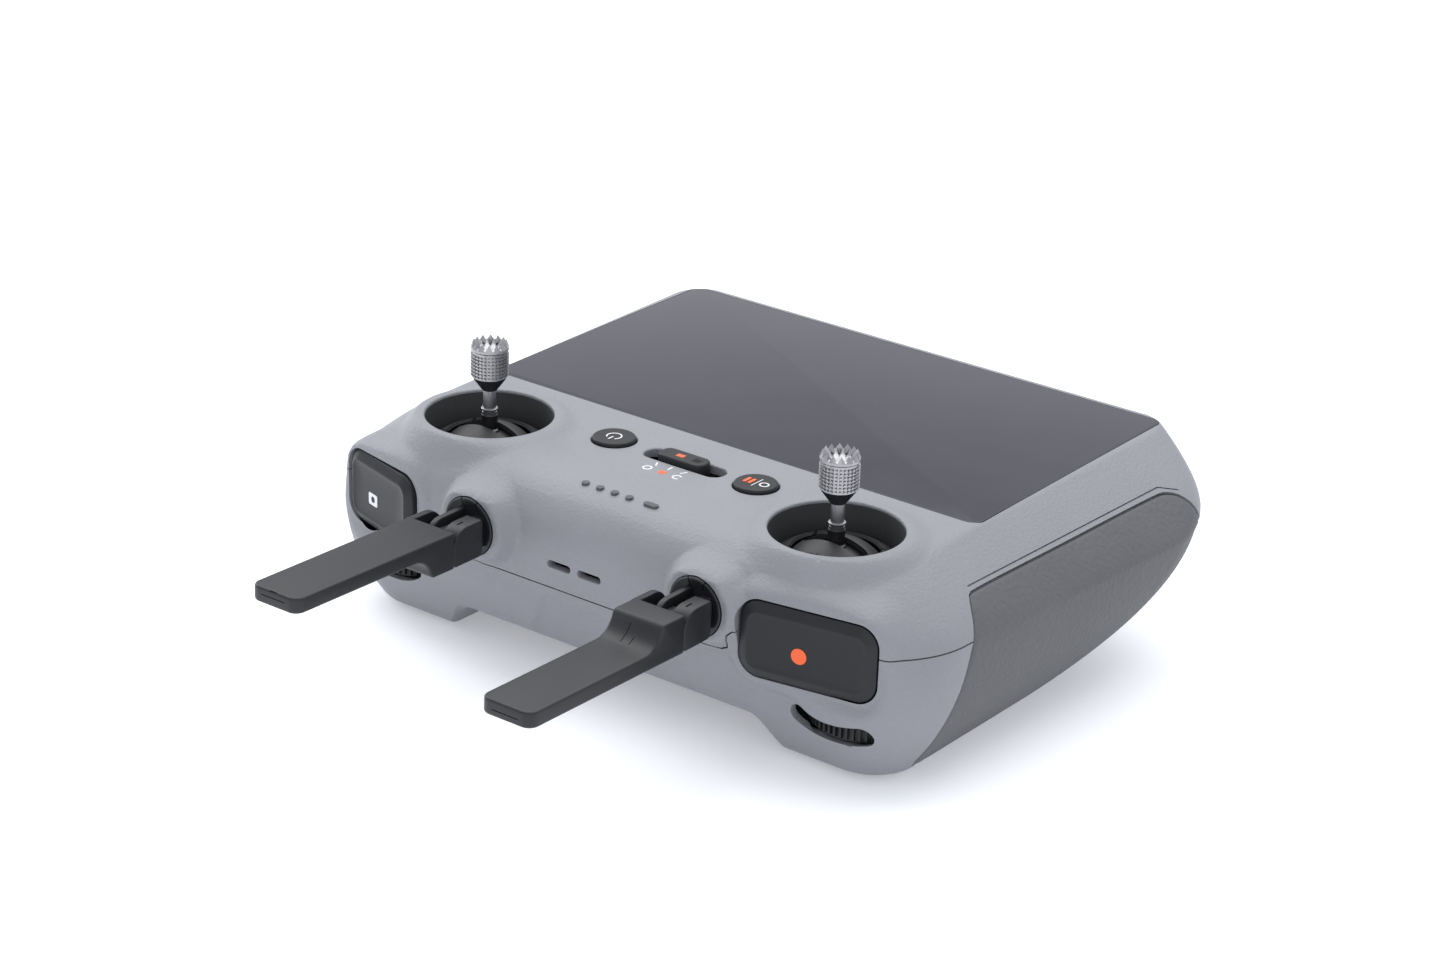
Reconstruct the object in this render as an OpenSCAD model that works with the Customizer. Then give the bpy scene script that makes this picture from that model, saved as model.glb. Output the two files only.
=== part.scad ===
// Handheld radio transmitter with a built-in screen, two control sticks and
// two folding antennas. Millimetres, +Z up. It lies on its back on Z = 0 with
// the screen facing up. -Y is the antenna end, +Y is the user's end, and the
// origin is below the middle of the whole object, antennas stretched out.

/* [Body] */
// Overall width of the body
body_w = 168.4; // [164:0.2:172]
// Length of the body, from the antenna hub faces to the user's end
body_l = 123.7; // [121:0.1:126]
// Height of the flat top face above the table
top_z = 44.7; // [43.5:0.1:46]
// Wall thickness of the two shells
wall = 2; // [1.6:0.1:2.2]
// Thickness of the rubber grip pads
pad_t = 1.2; // [1:0.1:1.4]

/* [Screen] */
// Width of the cover glass
glass_w = 128.4; // [126:0.1:129]
// Depth of the cover glass
glass_l = 74.2; // [72:0.1:75]
// Thickness of the cover glass
glass_t = 1.1; // [0.8:0.1:1.3]
// Width of the lit area, 5.5 inch at 16:9
display_w = 121.8; // [118:0.1:122]
// Depth of the lit area
display_l = 68.5; // [66:0.1:69]

/* [Sticks] */
// Distance between the two stick axes
stick_pitch = 91.6; // [90:0.2:93]
// Distance of the stick axes in front of the glass centre
stick_front = 59.7; // [59:0.1:60.5]
// Radius of the round opening around a stick
well_r = 13.9; // [13.5:0.1:14.2]
// Height of the raised ring around the opening
ring_h = 1.5; // [1:0.1:1.8]
// Height of the gimbal centre above the table
gimbal_z = 31; // [30.5:0.1:31.5]
// Height of the stick tips above the table
stick_top = 63.6; // [62:0.1:65]

/* [Antennas] */
// Distance of each antenna axis from the middle
antenna_x = 29.8; // [29:0.1:31]
// Height of the antenna axis above the table
antenna_z = 32.6; // [32.2:0.1:33]
// Radius of the round antenna hub
hub_r = 6.4; // [6:0.05:6.5]
// Reach of an antenna beyond the hub face
antenna_reach = 57.3; // [50:0.1:60]
// Thickness of the flat antenna blade
blade_t = 3.4; // [3:0.1:3.8]
// Angle by which both antennas point upwards
antenna_rise = 1.2; // [0:0.1:2]

/* [Buttons] */
// Distance of the power and pause buttons from the middle
top_button_x = 18.8; // [18:0.1:20]
// Radius of the power and pause buttons
top_button_r = 5.3; // [5:0.1:5.6]
// Length of travel of the slide switch to each side
switch_travel = 3.6; // [2:0.1:4]
// Angle by which the record button faces outwards
record_angle = 9; // [8:0.5:11]
// Angle by which the shutter button faces outwards
shutter_angle = 16; // [14:0.5:17]
// Radius of the two thumb wheels
wheel_r = 13; // [12.5:0.1:13.4]

/* [Hidden] */

$fn = 48;
eps = 0.01;
gap = 0.25;                                // running gap around moving pieces
rear_y = 38.7;                             // user's end, from the glass centre
face_y = rear_y - body_l;                  // hub faces, from the glass centre
tip_y = face_y - antenna_reach;            // antenna tips, from the glass centre
shift_y = -(rear_y + tip_y) / 2;           // glass centre in the part's own frame

// Body outline at a height: half widths at both ends, ends, corner radii.
wide_z = 30;                               // height where the body is widest
rear_z = 36;                               // height where the rear end is farthest out
foot_in = 15.5;                            // how far the sides pull in at the table
top_in = 18.7;                             // how far the sides pull in at the top
edge_z = 2.5;                              // height of the rounded edge at the table
side_taper = 5.7;                          // the sides come in towards the antennas
function low(z) = max(0, 1 - z / wide_z);
function high(z) = max(0, (z - wide_z) / (top_z - wide_z));
function edge(z) = 3.5 * pow(max(0, 1 - z / edge_z), 2);
function rear_half(z) = body_w / 2 - foot_in * pow(low(z), 2) - top_in * pow(high(z), 1.3) - edge(z);
function front_half(z) = rear_half(z) - side_taper * (1 - low(z)) * (1 - 0.7 * high(z));
function front(z) = -80.8 + 8.5 * pow(low(z), 2) + 7.3 * pow(high(z), 3) + edge(z);
function rear(z) = rear_y - 42 * pow(max(0, 1 - z / rear_z), 2.1) - edge(z);
function front_r(z) = 21 - 12 * low(z);
function rear_r(z) = 25 - 18 * pow(high(z), 0.7);

function arc(x, y, r, a) = [for (i = [0 : 8]) [x + r * cos(a + i * 90 / 8), y + r * sin(a + i * 90 / 8)]];
function half_outline(z, t) =
    let (f = front(z) + t, b = rear(z) - t, rf = max(front_r(z) - t, 3), rb = max(rear_r(z) - t, 3))
    concat(arc(front_half(z) - t - rf, f + rf, rf, 270), arc(rear_half(z) - t - rb, b - rb, rb, 0));
function mirrored(p) = [for (i = [len(p) - 1 : -1 : 0]) [-p[i][0], p[i][1]]];
function outline(z, t) = concat(half_outline(z, t), mirrored(half_outline(z, t)));

// Whole body, pulled in by t on every side.
levels = [0, 1, 2.5, 6, 10, 15, 20, 25, 30, 33, 36, 38.5, 40.5, 42.5, 44.7];
module body(t = 0) {
    hull() for (z = levels)
        translate([0, 0, min(max(z, t), top_z - t - eps)])
            linear_extrude(eps) polygon(outline(z, t));
}

// The hollow under the middle, between the two grips.
hollow_z = 7.2;
module under_hollow(t = 0) {
    translate([0, 50, -1]) rotate([90, 0, 0]) linear_extrude(150)
        polygon([[-47 - t, 0], [47 + t, 0], [38 + t, hollow_z + 1 + t], [-38 - t, hollow_z + 1 + t]]);
}

// Everything is laid out from the glass centre and then shifted once.
module place() { translate([0, shift_y, 0]) children(); }
module both_sides() { children(); mirror([1, 0, 0]) children(); }

// ---- the line where the shells meet -------------------------------------
seam_side = 38.6;                          // along the grips
seam_front = 30.6;                         // around the shoulder buttons
seam_mid = 23.4;                           // between and below the antennas
seam_step = -57;                           // where the side seam steps down
mid_half = 35.5;                           // half width of the lowered middle

module above_seam(t = 0) {
    translate([-100, seam_step, seam_side + t]) cube([200, 110, 30]);
    translate([-100, -110, seam_front + t]) cube([200, 110 + seam_step, seam_side - seam_front + 1]);
    translate([-100, -110, seam_side + t]) cube([200, 110 + seam_step + eps, 30]);
    translate([-mid_half + t, -110, seam_mid + t]) cube([2 * (mid_half - t), 50, 20]);
}
module pad_zone(t = 0) {
    // side view of a grip pad, cut through the side of the body
    translate([57, 0, 0]) rotate([90, 0, 90]) linear_extrude(50) offset(r = t)
        hull() {
            translate([-50, 34.6]) circle(2.6);
            translate([18.5, 32.2]) circle(5);
            translate([-52.5, 26]) circle(3);
            translate([-58, 12]) circle(4);
            translate([-58, 6]) circle(3);
            translate([2, 10]) circle(6);
        }
}
module skin(t) { difference() { body(); body(t); } }

// ---- openings shared by the shells and what fills them -------------------
shoulder_z = 28.5;
shoulder_h = 16.4;
function shoulder_w(side) = side > 0 ? 30.2 : 24.8;
function flange_y(side) = side > 0 ? 1 : 1.8; // where the button's flange starts, behind its face
function switch_x(side) = side > 0 ? -10.5 : -8.5;
function shoulder_spot(side) = side > 0 ? [53.6, -78.4] : [-59.6, -77.6];

// A child drawn in X and Z, facing -Y, is set on the shoulder face of one side.
module on_shoulder(side) {
    translate([shoulder_spot(side)[0], shoulder_spot(side)[1], shoulder_z])
        rotate([0, 0, side > 0 ? record_angle : -shutter_angle]) children();
}
module shoulder_block(side, t, y0, y1) {
    // rounded rectangle along Y
    translate([0, y1, 0]) rotate([90, 0, 0]) linear_extrude(y1 - y0)
        hull() both_sides() for (s = [-1, 1])
            translate([shoulder_w(side) / 2 - 4.4, s * (shoulder_h / 2 - 4.4)]) circle(4.4 + t);
}
module shoulder_opening(side) {
    shoulder_block(side, gap, -20, 6);
    shoulder_block(side, 1.2, flange_y(side), 6);
}
wheel_z = 12.6;
wheel_t = 5;
wheel_x = 59.5;
wheel_y = -64.2;
module wheel_slot() {
    // the slot follows the wheel's rim
    hull() for (s = [-1, 1]) translate([wheel_x + s * 8.2, -90, wheel_z + 0.4]) rotate([-90, 0, 0])
        cylinder(r = 2.9, h = 30, $fn = 24);
}
back_button_x = 32;                         // buttons in the roof of the hollow
back_button_y = -24;
usb_z = 38;

// Round ring around a stick, raised above the top face.
module ring() {
    rotate_extrude() polygon([[well_r - 0.3, -1.9], [well_r - 0.3, ring_h], [well_r + 1.3, ring_h], [well_r + 2.6, 0],
        [well_r + 2.6, -1.9]]);
}
module at_stick(side) { translate([side * stick_pitch / 2, -stick_front, 0]) children(); }

// ---- shells ---------------------------------------------------------------
module top_shell() {
    color([0.62, 0.63, 0.66]) place() resize([0, 0, 0]) difference() {
        union() {
            intersection() { skin(wall); above_seam(); }
            both_sides() at_stick(1) translate([0, 0, top_z]) ring();
            // sockets that carry the antenna hubs
            both_sides() translate([antenna_x, face_y + 2.2, antenna_z]) rotate([-90, 0, 0])
                cylinder(r1 = hub_r + 1.9, r2 = hub_r + 2.9, h = 6.5);
        }
        // glass bed and display opening
        translate([0, 0, top_z - glass_t - 0.1]) linear_extrude(5) rounded(glass_w + 0.3, glass_l + 0.3, 3);
        translate([0, 0, top_z - 10]) linear_extrude(20) rounded(display_w - 4, display_l - 4, 2);
        both_sides() at_stick(1) translate([0, 0, 30]) cylinder(r = well_r, h = 30);
        // power, pause and mode switch
        for (s = [-1, 1]) translate([s * top_button_x, -50.5, 35]) cylinder(r = top_button_r + gap, h = 20);
        translate([0, -50.5, 35]) linear_extrude(20) rounded(12.4 + 2 * switch_travel, 5.6, 2.8);
        // lamps
        for (i = [0 : 3]) translate([-8.8 + 3.85 * i, -72.1, 35]) cylinder(r = 0.9, h = 20, $fn = 24);
        translate([8.4, -72.1, 35]) linear_extrude(20) rounded(3.6, 1.6, 0.75);
        // two microphone slits in the front
        for (x = [-8.6, -0.6]) translate([x, -70, 28.4]) rotate([90, 0, 0])
            linear_extrude(20) rounded(6, 1.5, 0.7);
        // antenna hubs turn in these
        both_sides() translate([antenna_x, -100, antenna_z]) rotate([-90, 0, 0]) {
            cylinder(r = hub_r + gap, h = 22.7);
            cylinder(r = 3.3, h = 40);
        }
        for (s = [-1, 1]) on_shoulder(s) shoulder_opening(s);
        translate([0, 0, usb_z]) usb_cut();
    }
}
module usb_cut() {
    translate([-8, 30, 0]) rotate([-90, 0, 0]) linear_extrude(20) rounded(9.6, 3.9, 1.9);
    translate([12, 30, 0]) rotate([-90, 0, 0]) linear_extrude(20) rounded(13, 2.4, 1);
}
module rounded(w, l, r) {
    // rectangle with round corners, middle on the origin
    union() {
        square([w - 2 * r, l], center = true);
        square([w, l - 2 * r], center = true);
        for (x = [-1, 1], y = [-1, 1]) translate([x * (w / 2 - r), y * (l / 2 - r)]) circle(r);
    }
}

trough_x = 18;                             // troughs that store spare sticks
trough_y = -45;
trough_r = 5;
module bottom_shell() {
    color([0.60, 0.61, 0.64]) place() resize([0, 0, 0]) difference() {
        union() {
            difference() {
                body();
                difference() { body(wall); under_hollow(wall); }
                for (s = [-1, 1]) pad_cut(s);
            }
            // backing behind each pad
            difference() {
                intersection() { body(pad_t + 0.05); both_sides() pad_zone(1.5); }
                body(pad_t + wall);
            }
            both_sides() translate([trough_x, trough_y, 10.3]) cube([14, 28, 8.2], center = true);
        }
        under_hollow();
        above_seam(-0.05);
        // antenna hub sockets
        both_sides() translate([antenna_x, -100, antenna_z]) rotate([-90, 0, 0])
            cylinder(r = hub_r + 3.2, h = 45);
        for (s = [-1, 1]) on_shoulder(s) shoulder_opening(s);
        both_sides() wheel_slot();
        both_sides() translate([wheel_x, wheel_y, wheel_z - wheel_t / 2 - 0.4])
            cylinder(r = wheel_r + 0.5, h = wheel_t + 0.8);
        both_sides() translate([back_button_x, back_button_y, -5]) cylinder(r = 5.2, h = 20);
        // air and sound slots in the hollow
        for (i = [-4 : 4]) translate([i * 5, 2, -1]) linear_extrude(15) rounded(1.6, 14, 0.75);
        both_sides() translate([trough_x, trough_y, hollow_z + 0.1]) rotate([90, 0, 0])
            cylinder(r = trough_r, h = 24.2, center = true);
        both_sides() translate([trough_x, trough_y, 12.3]) cube([7.2, 7.2, 20], center = true);
        for (p = screw_spots) translate([p[0], p[1], -5.5]) cylinder(r = 1.6, h = 30, $fn = 24);
        translate([0, 0, usb_z]) usb_cut();
    }
}
module pad_cut(side) { scale([side, 1, 1]) pad_zone(0.15); }

module grip_pad(side) {
    color([0.34, 0.35, 0.37]) place() resize([0, 0, 0]) intersection() {
        difference() { body(); body(pad_t); }
        mirror([side < 0 ? 1 : 0, 0, 0]) pad_zone();
    }
}
module left_grip_pad() { grip_pad(-1); }
module right_grip_pad() { grip_pad(1); }

// ---- screen -----------------------------------------------------------------
module screen_glass() {
    color([0.08, 0.08, 0.09]) place() translate([0, 0, top_z - glass_t])
        linear_extrude(glass_t) rounded(glass_w, glass_l, 2.9);
}
module display_panel() {
    color([0.15, 0.16, 0.18]) place() translate([0, 0, top_z - glass_t - 2]) linear_extrude(1.9)
        rounded(display_w - 5, display_l - 5, 1);
}
module display_frame() {
    color("silver") place() difference() {
        translate([0, 0, top_z - 4.6]) linear_extrude(1.3) rounded(112, 62, 2);
        for (x = [-50, 50], y = [-26, 26]) translate([x, y, 0]) cylinder(r = 1.1, h = 60);
        for (x = [-26, 0, 26]) translate([x, 0, 30]) linear_extrude(20) rounded(16, 34, 3);
    }
}

// ---- electronics -------------------------------------------------------------
board_z = 32;
board_screw_spots = [[-50, -26], [50, -26], [-50, 22], [50, 22]];
module main_board() {
    color([0.10, 0.30, 0.20]) place() {
        difference() {
            translate([0, 0, board_z]) linear_extrude(1.2) rounded(112, 58, 3);
            for (p = board_screw_spots) translate([p[0], p[1], 0]) cylinder(r = 1.1, h = 60);
        }
        // shield cans and the processor
        for (x = [-38, 8]) translate([x, -16, board_z + 1.2]) cube([26, 22, 2.2]);
        translate([-8, 10, board_z + 1.2]) cube([14, 14, 1.2]);
    }
}
battery_w = 50;
module battery_pack() {
    // two round cells in one wrap
    color([0.20, 0.22, 0.26]) place() translate([-battery_w / 2, -27, 19.8]) {
        for (y = [9.2, 27.8]) translate([0, y, 0]) rotate([0, 90, 0]) cylinder(r = 9.1, h = battery_w);
        translate([0, 9.2, -2]) cube([battery_w, 18.6, 4]);
    }
}
module speaker() {
    color([0.12, 0.12, 0.13]) place() translate([38, -2, 14]) {
        difference() {
            linear_extrude(5) rounded(18, 26, 4);
            translate([0, 0, -1]) linear_extrude(2) rounded(14, 22, 3);
        }
    }
}
module light_guides() {
    color([0.85, 0.86, 0.88]) place() {
        for (i = [0 : 3]) translate([-8.8 + 3.85 * i, -72.1, 41.4]) cylinder(r = 0.85, h = 3.2, $fn = 24);
        translate([8.4, -72.1, 41.4]) linear_extrude(3.2) rounded(3.5, 1.5, 0.7);
        translate([-1, -71.6, 40.9]) cube([24, 3.4, 1.2], center = true);
    }
}
module top_switch_board() {
    // small board with the switches below the power, pause and mode controls
    color([0.10, 0.30, 0.20]) place() {
        translate([0, -50.5, 34]) linear_extrude(1) rounded(52, 11, 2);
        for (s = [-1, 1]) translate([s * top_button_x, -50.5, 35]) {
            translate([-3, -3, 0]) cube([6, 6, 2]);
            cylinder(r = 1.6, h = 2.9);
        }
        translate([-6, -2 - 50.5, 35]) cube([12, 4, 2.2]);
    }
}

// ---- top controls --------------------------------------------------------------
module top_button(side) {
    color([0.09, 0.09, 0.10]) place() translate([side * top_button_x, -50.5, 0]) {
        translate([0, 0, 42.4]) cylinder(r = top_button_r, h = 2.6);
        translate([0, 0, 45]) cylinder(r1 = top_button_r, r2 = top_button_r - 0.5, h = 0.5);
        translate([0, 0, 41.6]) cylinder(r = top_button_r + 0.9, h = 1);
        translate([0, 0, 38.8]) cylinder(r = 1.5, h = 3);
    }
}
module power_button() { top_button(-1); }
module pause_button() { top_button(1); }
module mode_switch() {
    color([0.09, 0.09, 0.10]) place() translate([0, -50.5, 0]) {
        translate([0, 0, 41.8]) linear_extrude(3.3) rounded(12, 4.9, 2.4);
        translate([0, 0, 41.2]) linear_extrude(1.2) rounded(13, 9, 2);
        translate([-1, -1, 38.2]) cube([2, 2, 4]);
        for (i = [-3 : 3]) translate([i * 0.8 + 2.2, 0, 45]) cube([0.35, 3.6, 0.5], center = true);
    }
}

// ---- shoulder buttons and wheels ------------------------------------------------
module shoulder_button(side) {
    y = flange_y(side);
    color([0.10, 0.10, 0.11]) place() on_shoulder(side) {
        hull() {
            shoulder_block(side, 0, -0.9, y + 0.4);
            shoulder_block(side, -1.3, -2, 0);
        }
        shoulder_block(side, 0.9, y + 0.2, y + 1);
        translate([switch_x(side), y + 1.4, 0]) cube([4, 0.9, 4], center = true);
    }
}
module record_button() { shoulder_button(1); }
module shutter_button() { shoulder_button(-1); }
module shoulder_board(side) {
    color([0.10, 0.30, 0.20]) place() on_shoulder(side) translate([switch_x(side), flange_y(side), 0]) {
        translate([0, 2.9, 0]) cube([2.6, 0.6, 2.6], center = true);
        translate([0, 3.4, 0]) cube([5, 0.6, 8], center = true);
    }
}
module record_switch_board() { shoulder_board(1); }
module shutter_switch_board() { shoulder_board(-1); }

module wheel(side) {
    color([0.08, 0.08, 0.09]) place() translate([side * wheel_x, wheel_y, wheel_z]) difference() {
        union() {
            cylinder(r = wheel_r - 0.4, h = wheel_t, center = true);
            for (i = [0 : 59]) rotate([0, 0, i * 6]) translate([wheel_r - 0.6, 0, 0])
                cube([1.2, 0.7, wheel_t - 0.6], center = true);
        }
        cylinder(r = 2.05, h = 20, center = true);
    }
}
module left_wheel() { wheel(-1); }
module right_wheel() { wheel(1); }
module wheel_bracket(side) {
    // axle on a small arm that is screwed to the lower shell
    color([0.25, 0.25, 0.27]) place() translate([side * wheel_x, wheel_y, 0]) {
        translate([0, 0, wheel_z - wheel_t / 2 - 1.4]) cylinder(r = 2, h = wheel_t + 3);
        translate([0, 0, 16.2]) cylinder(r = 4, h = 1.4);
        translate([-3, 0, 16.2]) cube([6, 17.4, 1.4]);
        translate([-3, 15.4, 3.3]) cube([6, 2, 13]);
    }
}
module left_wheel_bracket() { wheel_bracket(-1); }
module right_wheel_bracket() { wheel_bracket(1); }

module back_button(side) {
    color([0.10, 0.10, 0.11]) place() translate([side * back_button_x, back_button_y, hollow_z]) {
        translate([0, 0, -0.8]) cylinder(r = 4.9, h = 3.3);
        translate([0, 0, wall + 0.3]) cylinder(r = 5.8, h = 1.1);
        translate([0, 0, wall + 1.4]) cylinder(r = 2, h = 1.8);
    }
}
module back_switch_boards() {
    // one small board with a switch behind each back button
    color([0.10, 0.30, 0.20]) place() both_sides()
    translate([back_button_x, back_button_y, hollow_z + wall + 5]) {
        linear_extrude(0.8) rounded(11, 11, 1);
        translate([-2, -2, -0.8]) cube([4, 4, 0.9]);
    }
}
module left_back_button() { back_button(-1); }
module right_back_button() { back_button(1); }

// ---- sockets at the user's end --------------------------------------------------
module usb_socket() {
    color("silver") place() translate([-8, 29, usb_z]) rotate([-90, 0, 0]) difference() {
        linear_extrude(8.6) rounded(8.94, 3.26, 1.6);
        translate([0, 0, 1]) linear_extrude(10) rounded(8.34, 2.66, 1.3);
    }
    color([0.1, 0.1, 0.1]) place() translate([-8, 29.8, usb_z]) rotate([-90, 0, 0])
        linear_extrude(6.4) square([6.7, 0.7], center = true);
}
module card_socket() {
    color("silver") place() translate([12, 26, usb_z]) rotate([-90, 0, 0]) difference() {
        linear_extrude(10.6) rounded(12.6, 2, 0.8);
        translate([0, 0, 1]) linear_extrude(12) rounded(11.4, 0.9, 0.3);
    }
}
module vent_mesh() {
    // fine mesh behind the air slots
    color([0.12, 0.12, 0.13]) place() translate([0, 2, hollow_z + wall + 0.3])
        linear_extrude(0.6) rounded(48, 17, 2);
}

// ---- sticks -----------------------------------------------------------------------
yoke_r = 12.9;
ball_r = 11.4;
axle_r = 1;
module gimbal_frame(side) {
    color([0.16, 0.16, 0.17]) place() at_stick(side) {
        difference() {
            intersection() {
                translate([0, 0, gimbal_z - 5]) cube([36, 29, 14], center = true);
                translate([0, 0, gimbal_z - 12]) cylinder(r = 18.9, h = 14);
            }
            translate([0, 0, gimbal_z - 10]) cylinder(r = 13.5, h = 20);
            translate([0, 0, gimbal_z]) rotate([0, 90, 0]) cylinder(r = axle_r + 0.04, h = 50, center = true);
            translate([0, 0, gimbal_z - 14]) linear_extrude(10) rounded(16, 16, 2);
        }
    }
}
module gimbal_yoke(side) {
    // arch over the ball, tilts about X; the slot lets the stick swing sideways
    color([0.13, 0.13, 0.14]) place() at_stick(side) translate([0, 0, gimbal_z]) {
        difference() {
            intersection() {
                sphere(r = yoke_r);
                translate([0, 0, 8]) cube([40, 12.4, 20.6], center = true);
            }
            sphere(r = yoke_r - 1.1);
            translate([0, 0, 10]) linear_extrude(10) rounded(15, 3.9, 1.9);
        }
        // ring that carries the ball's axle
        difference() {
            cylinder(r = 13.1, h = 3.4, center = true);
            cylinder(r = 11.8, h = 5, center = true);
            rotate([90, 0, 0]) cylinder(r = axle_r + 0.04, h = 40, center = true);
        }
        for (s = [-1, 1]) translate([s * 15.3, 0, 0]) rotate([0, 90, 0])
            cylinder(r = axle_r, h = 5, center = true);
    }
}
module gimbal_ball(side) {
    // dome with the post that holds the stick, tilts about Y in the yoke
    color([0.20, 0.20, 0.21]) place() at_stick(side) translate([0, 0, gimbal_z]) {
        difference() {
            intersection() { sphere(r = ball_r); translate([0, 0, 9]) cube([40, 40, 21], center = true); }
            intersection() { sphere(r = ball_r - 1.2); translate([0, 0, 9]) cube([40, 40, 30], center = true); }
        }
        translate([0, 0, 9.6]) cylinder(r = 1.75, h = 5.4);
        for (s = [-1, 1]) translate([0, s * 12, 0]) rotate([90, 0, 0])
            cylinder(r = axle_r, h = 2.2, center = true);
        translate([0, 0, 14.9]) cylinder(r = 1.2, h = 8);
    }
}
module stick(side) {
    // screwed-on aluminium stick: neck, knurled head and a crown of teeth
    head_z = 53;
    head_r = 4.6;
    crown_h = 1.9;
    color([0.78, 0.79, 0.81]) place() at_stick(side) difference() {
        union() {
            translate([0, 0, 46.1]) cylinder(r = 1.75, h = 4);
            translate([0, 0, 47]) cylinder(r = 2.3, h = 0.7);
            translate([0, 0, 49.6]) cylinder(r = 1.5, h = 2.6);
            translate([0, 0, 51.6]) cylinder(r1 = 1.9, r2 = 3.7, h = 1.5);
            translate([0, 0, head_z]) cylinder(r = head_r, h = stick_top - crown_h - head_z);
            difference() {
                translate([0, 0, stick_top - crown_h - eps])
                    cylinder(r1 = head_r, r2 = head_r - 0.7, h = crown_h);
                translate([0, 0, stick_top - 1.6]) cylinder(r = 2.3, h = 3);
                for (i = [0 : 11]) rotate([0, 0, i * 30]) translate([0, 0, stick_top + 0.4]) rotate([0, 90, 0])
                    rotate([0, 0, 45]) translate([0, 0, -0.5]) cube([1.7, 1.7, 12], center = false);
            }
        }
        translate([0, 0, 40]) cylinder(r = 1.2, h = 14);
    }
}
module well_liner(side) {
    // dark collar between the opening in the shell and the gimbal
    color([0.10, 0.10, 0.11]) place() at_stick(side) difference() {
        translate([0, 0, 38.6]) cylinder(r = well_r + 0.7, h = 3.6);
        translate([0, 0, 38]) cylinder(r = well_r - 0.1, h = 5);
    }
}
module left_gimbal_frame() { gimbal_frame(-1); }
module right_gimbal_frame() { gimbal_frame(1); }
module left_gimbal_yoke() { gimbal_yoke(-1); }
module right_gimbal_yoke() { gimbal_yoke(1); }
module left_gimbal_ball() { gimbal_ball(-1); }
module right_gimbal_ball() { gimbal_ball(1); }
module left_stick() { stick(-1); }
module right_stick() { stick(1); }
module left_well_liner() { well_liner(-1); }
module right_well_liner() { well_liner(1); }

// ---- antennas ------------------------------------------------------------------------
// Both are drawn with the hub axis on the Y axis and the hub face at Y = 0.
pivot_y = -6.6;                            // fold axis in front of the hub face
ear_r = 4.1;                               // round end of the hub's ears, half its height
root_y = -ear_r - 0.25;                    // back of the blade's root, from the fold axis
pin_r = 0.8;
module at_antenna(side) { translate([side * antenna_x, face_y, antenna_z]) children(); }
module knuckle(x0, x1, r) {
    // slice with a round end on the fold axis
    translate([x0, pivot_y, 0]) rotate([0, 90, 0]) cylinder(r = r, h = x1 - x0);
}
module antenna_hub(side) {
    color([0.10, 0.10, 0.11]) place() at_antenna(side) difference() {
        union() {
            translate([0, 0.6, 0]) rotate([-90, 0, 0]) cylinder(r = hub_r, h = 6.9);
            rotate([-90, 0, 0]) cylinder(r1 = hub_r - 0.4, r2 = hub_r, h = 0.61);
            translate([0, 7.4, 0]) rotate([-90, 0, 0]) cylinder(r = 3, h = 1.7);
            translate([0, 8.9, 0]) rotate([-90, 0, 0]) cylinder(r = 4.4, h = 1);
            // wide ear, square below the axis
            knuckle(1.9, hub_r - 0.5, ear_r);
            translate([1.9, pivot_y, -ear_r]) cube([hub_r - 2.4, 7.4, 2 * ear_r]);
            translate([1.9, pivot_y - ear_r, -ear_r]) cube([hub_r - 2.4, ear_r, ear_r]);
            // narrow ear
            knuckle(-2.3, -0.9, ear_r);
            translate([-2.3, pivot_y, -ear_r]) cube([1.4, 7.4, 2 * ear_r]);
        }
        translate([0, pivot_y, 0]) rotate([0, 90, 0]) cylinder(r = pin_r + 0.04, h = 30, center = true);
    }
}
module at_blade(side) {
    // both blades rise a little from the fold axis, and the left one is upside down
    translate([side * antenna_x, face_y + pivot_y, antenna_z]) rotate([-antenna_rise, 0, 0])
        mirror([0, 0, side < 0 ? 1 : 0]) children();
}
module antenna(side) {
    blade_y = tip_y - face_y - pivot_y;
    half = hub_r - 0.05;
    step_y = -13.9;                        // where the root thins to the blade
    color([0.13, 0.13, 0.14]) place() at_blade(side) difference() {
        union() {
            translate([-half, step_y, -ear_r]) cube([2 * half, root_y - step_y, 2 * ear_r]);
            translate([-half, blade_y + 2, -ear_r]) cube([2 * half, step_y - blade_y - 1.9, blade_t]);
            translate([-half + 2, blade_y, -ear_r]) cube([2 * half - 4, 3, blade_t]);
            for (s = [-1, 1]) translate([s * (half - 2), blade_y + 2, -ear_r]) cylinder(r = 2, h = blade_t);
            // arm outside the hub's ears and tongue between them
            translate([-half, root_y - 0.1, -ear_r]) cube([1.6, -root_y + 0.1, 2 * ear_r]);
            translate([0, -pivot_y, 0]) knuckle(-half, -half + 1.6, ear_r);
            translate([-0.6, root_y - 0.1, -2.4]) cube([2.2, -root_y + 0.1, 4.8]);
            translate([0, -pivot_y, 0]) knuckle(-0.6, 1.6, 2.4);
        }
        // scoop
        translate([0, step_y - 2.8, ear_r + 0.55]) rotate([0, 90, 0])
            cylinder(r = 2 * ear_r - blade_t + 0.55, h = 30, center = true);
        rotate([0, 90, 0]) cylinder(r = pin_r + 0.04, h = 30, center = true);
    }
}
module antenna_pin(side) {
    color("silver") place() at_antenna(side) translate([0, pivot_y, 0]) rotate([0, 90, 0])
        cylinder(r = pin_r, h = 11.6, center = true);
}
module left_antenna_hub() { antenna_hub(-1); }
module right_antenna_hub() { antenna_hub(1); }
module left_antenna() { antenna(-1); }
module right_antenna() { antenna(1); }
module left_antenna_pin() { antenna_pin(-1); }
module right_antenna_pin() { antenna_pin(1); }

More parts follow.
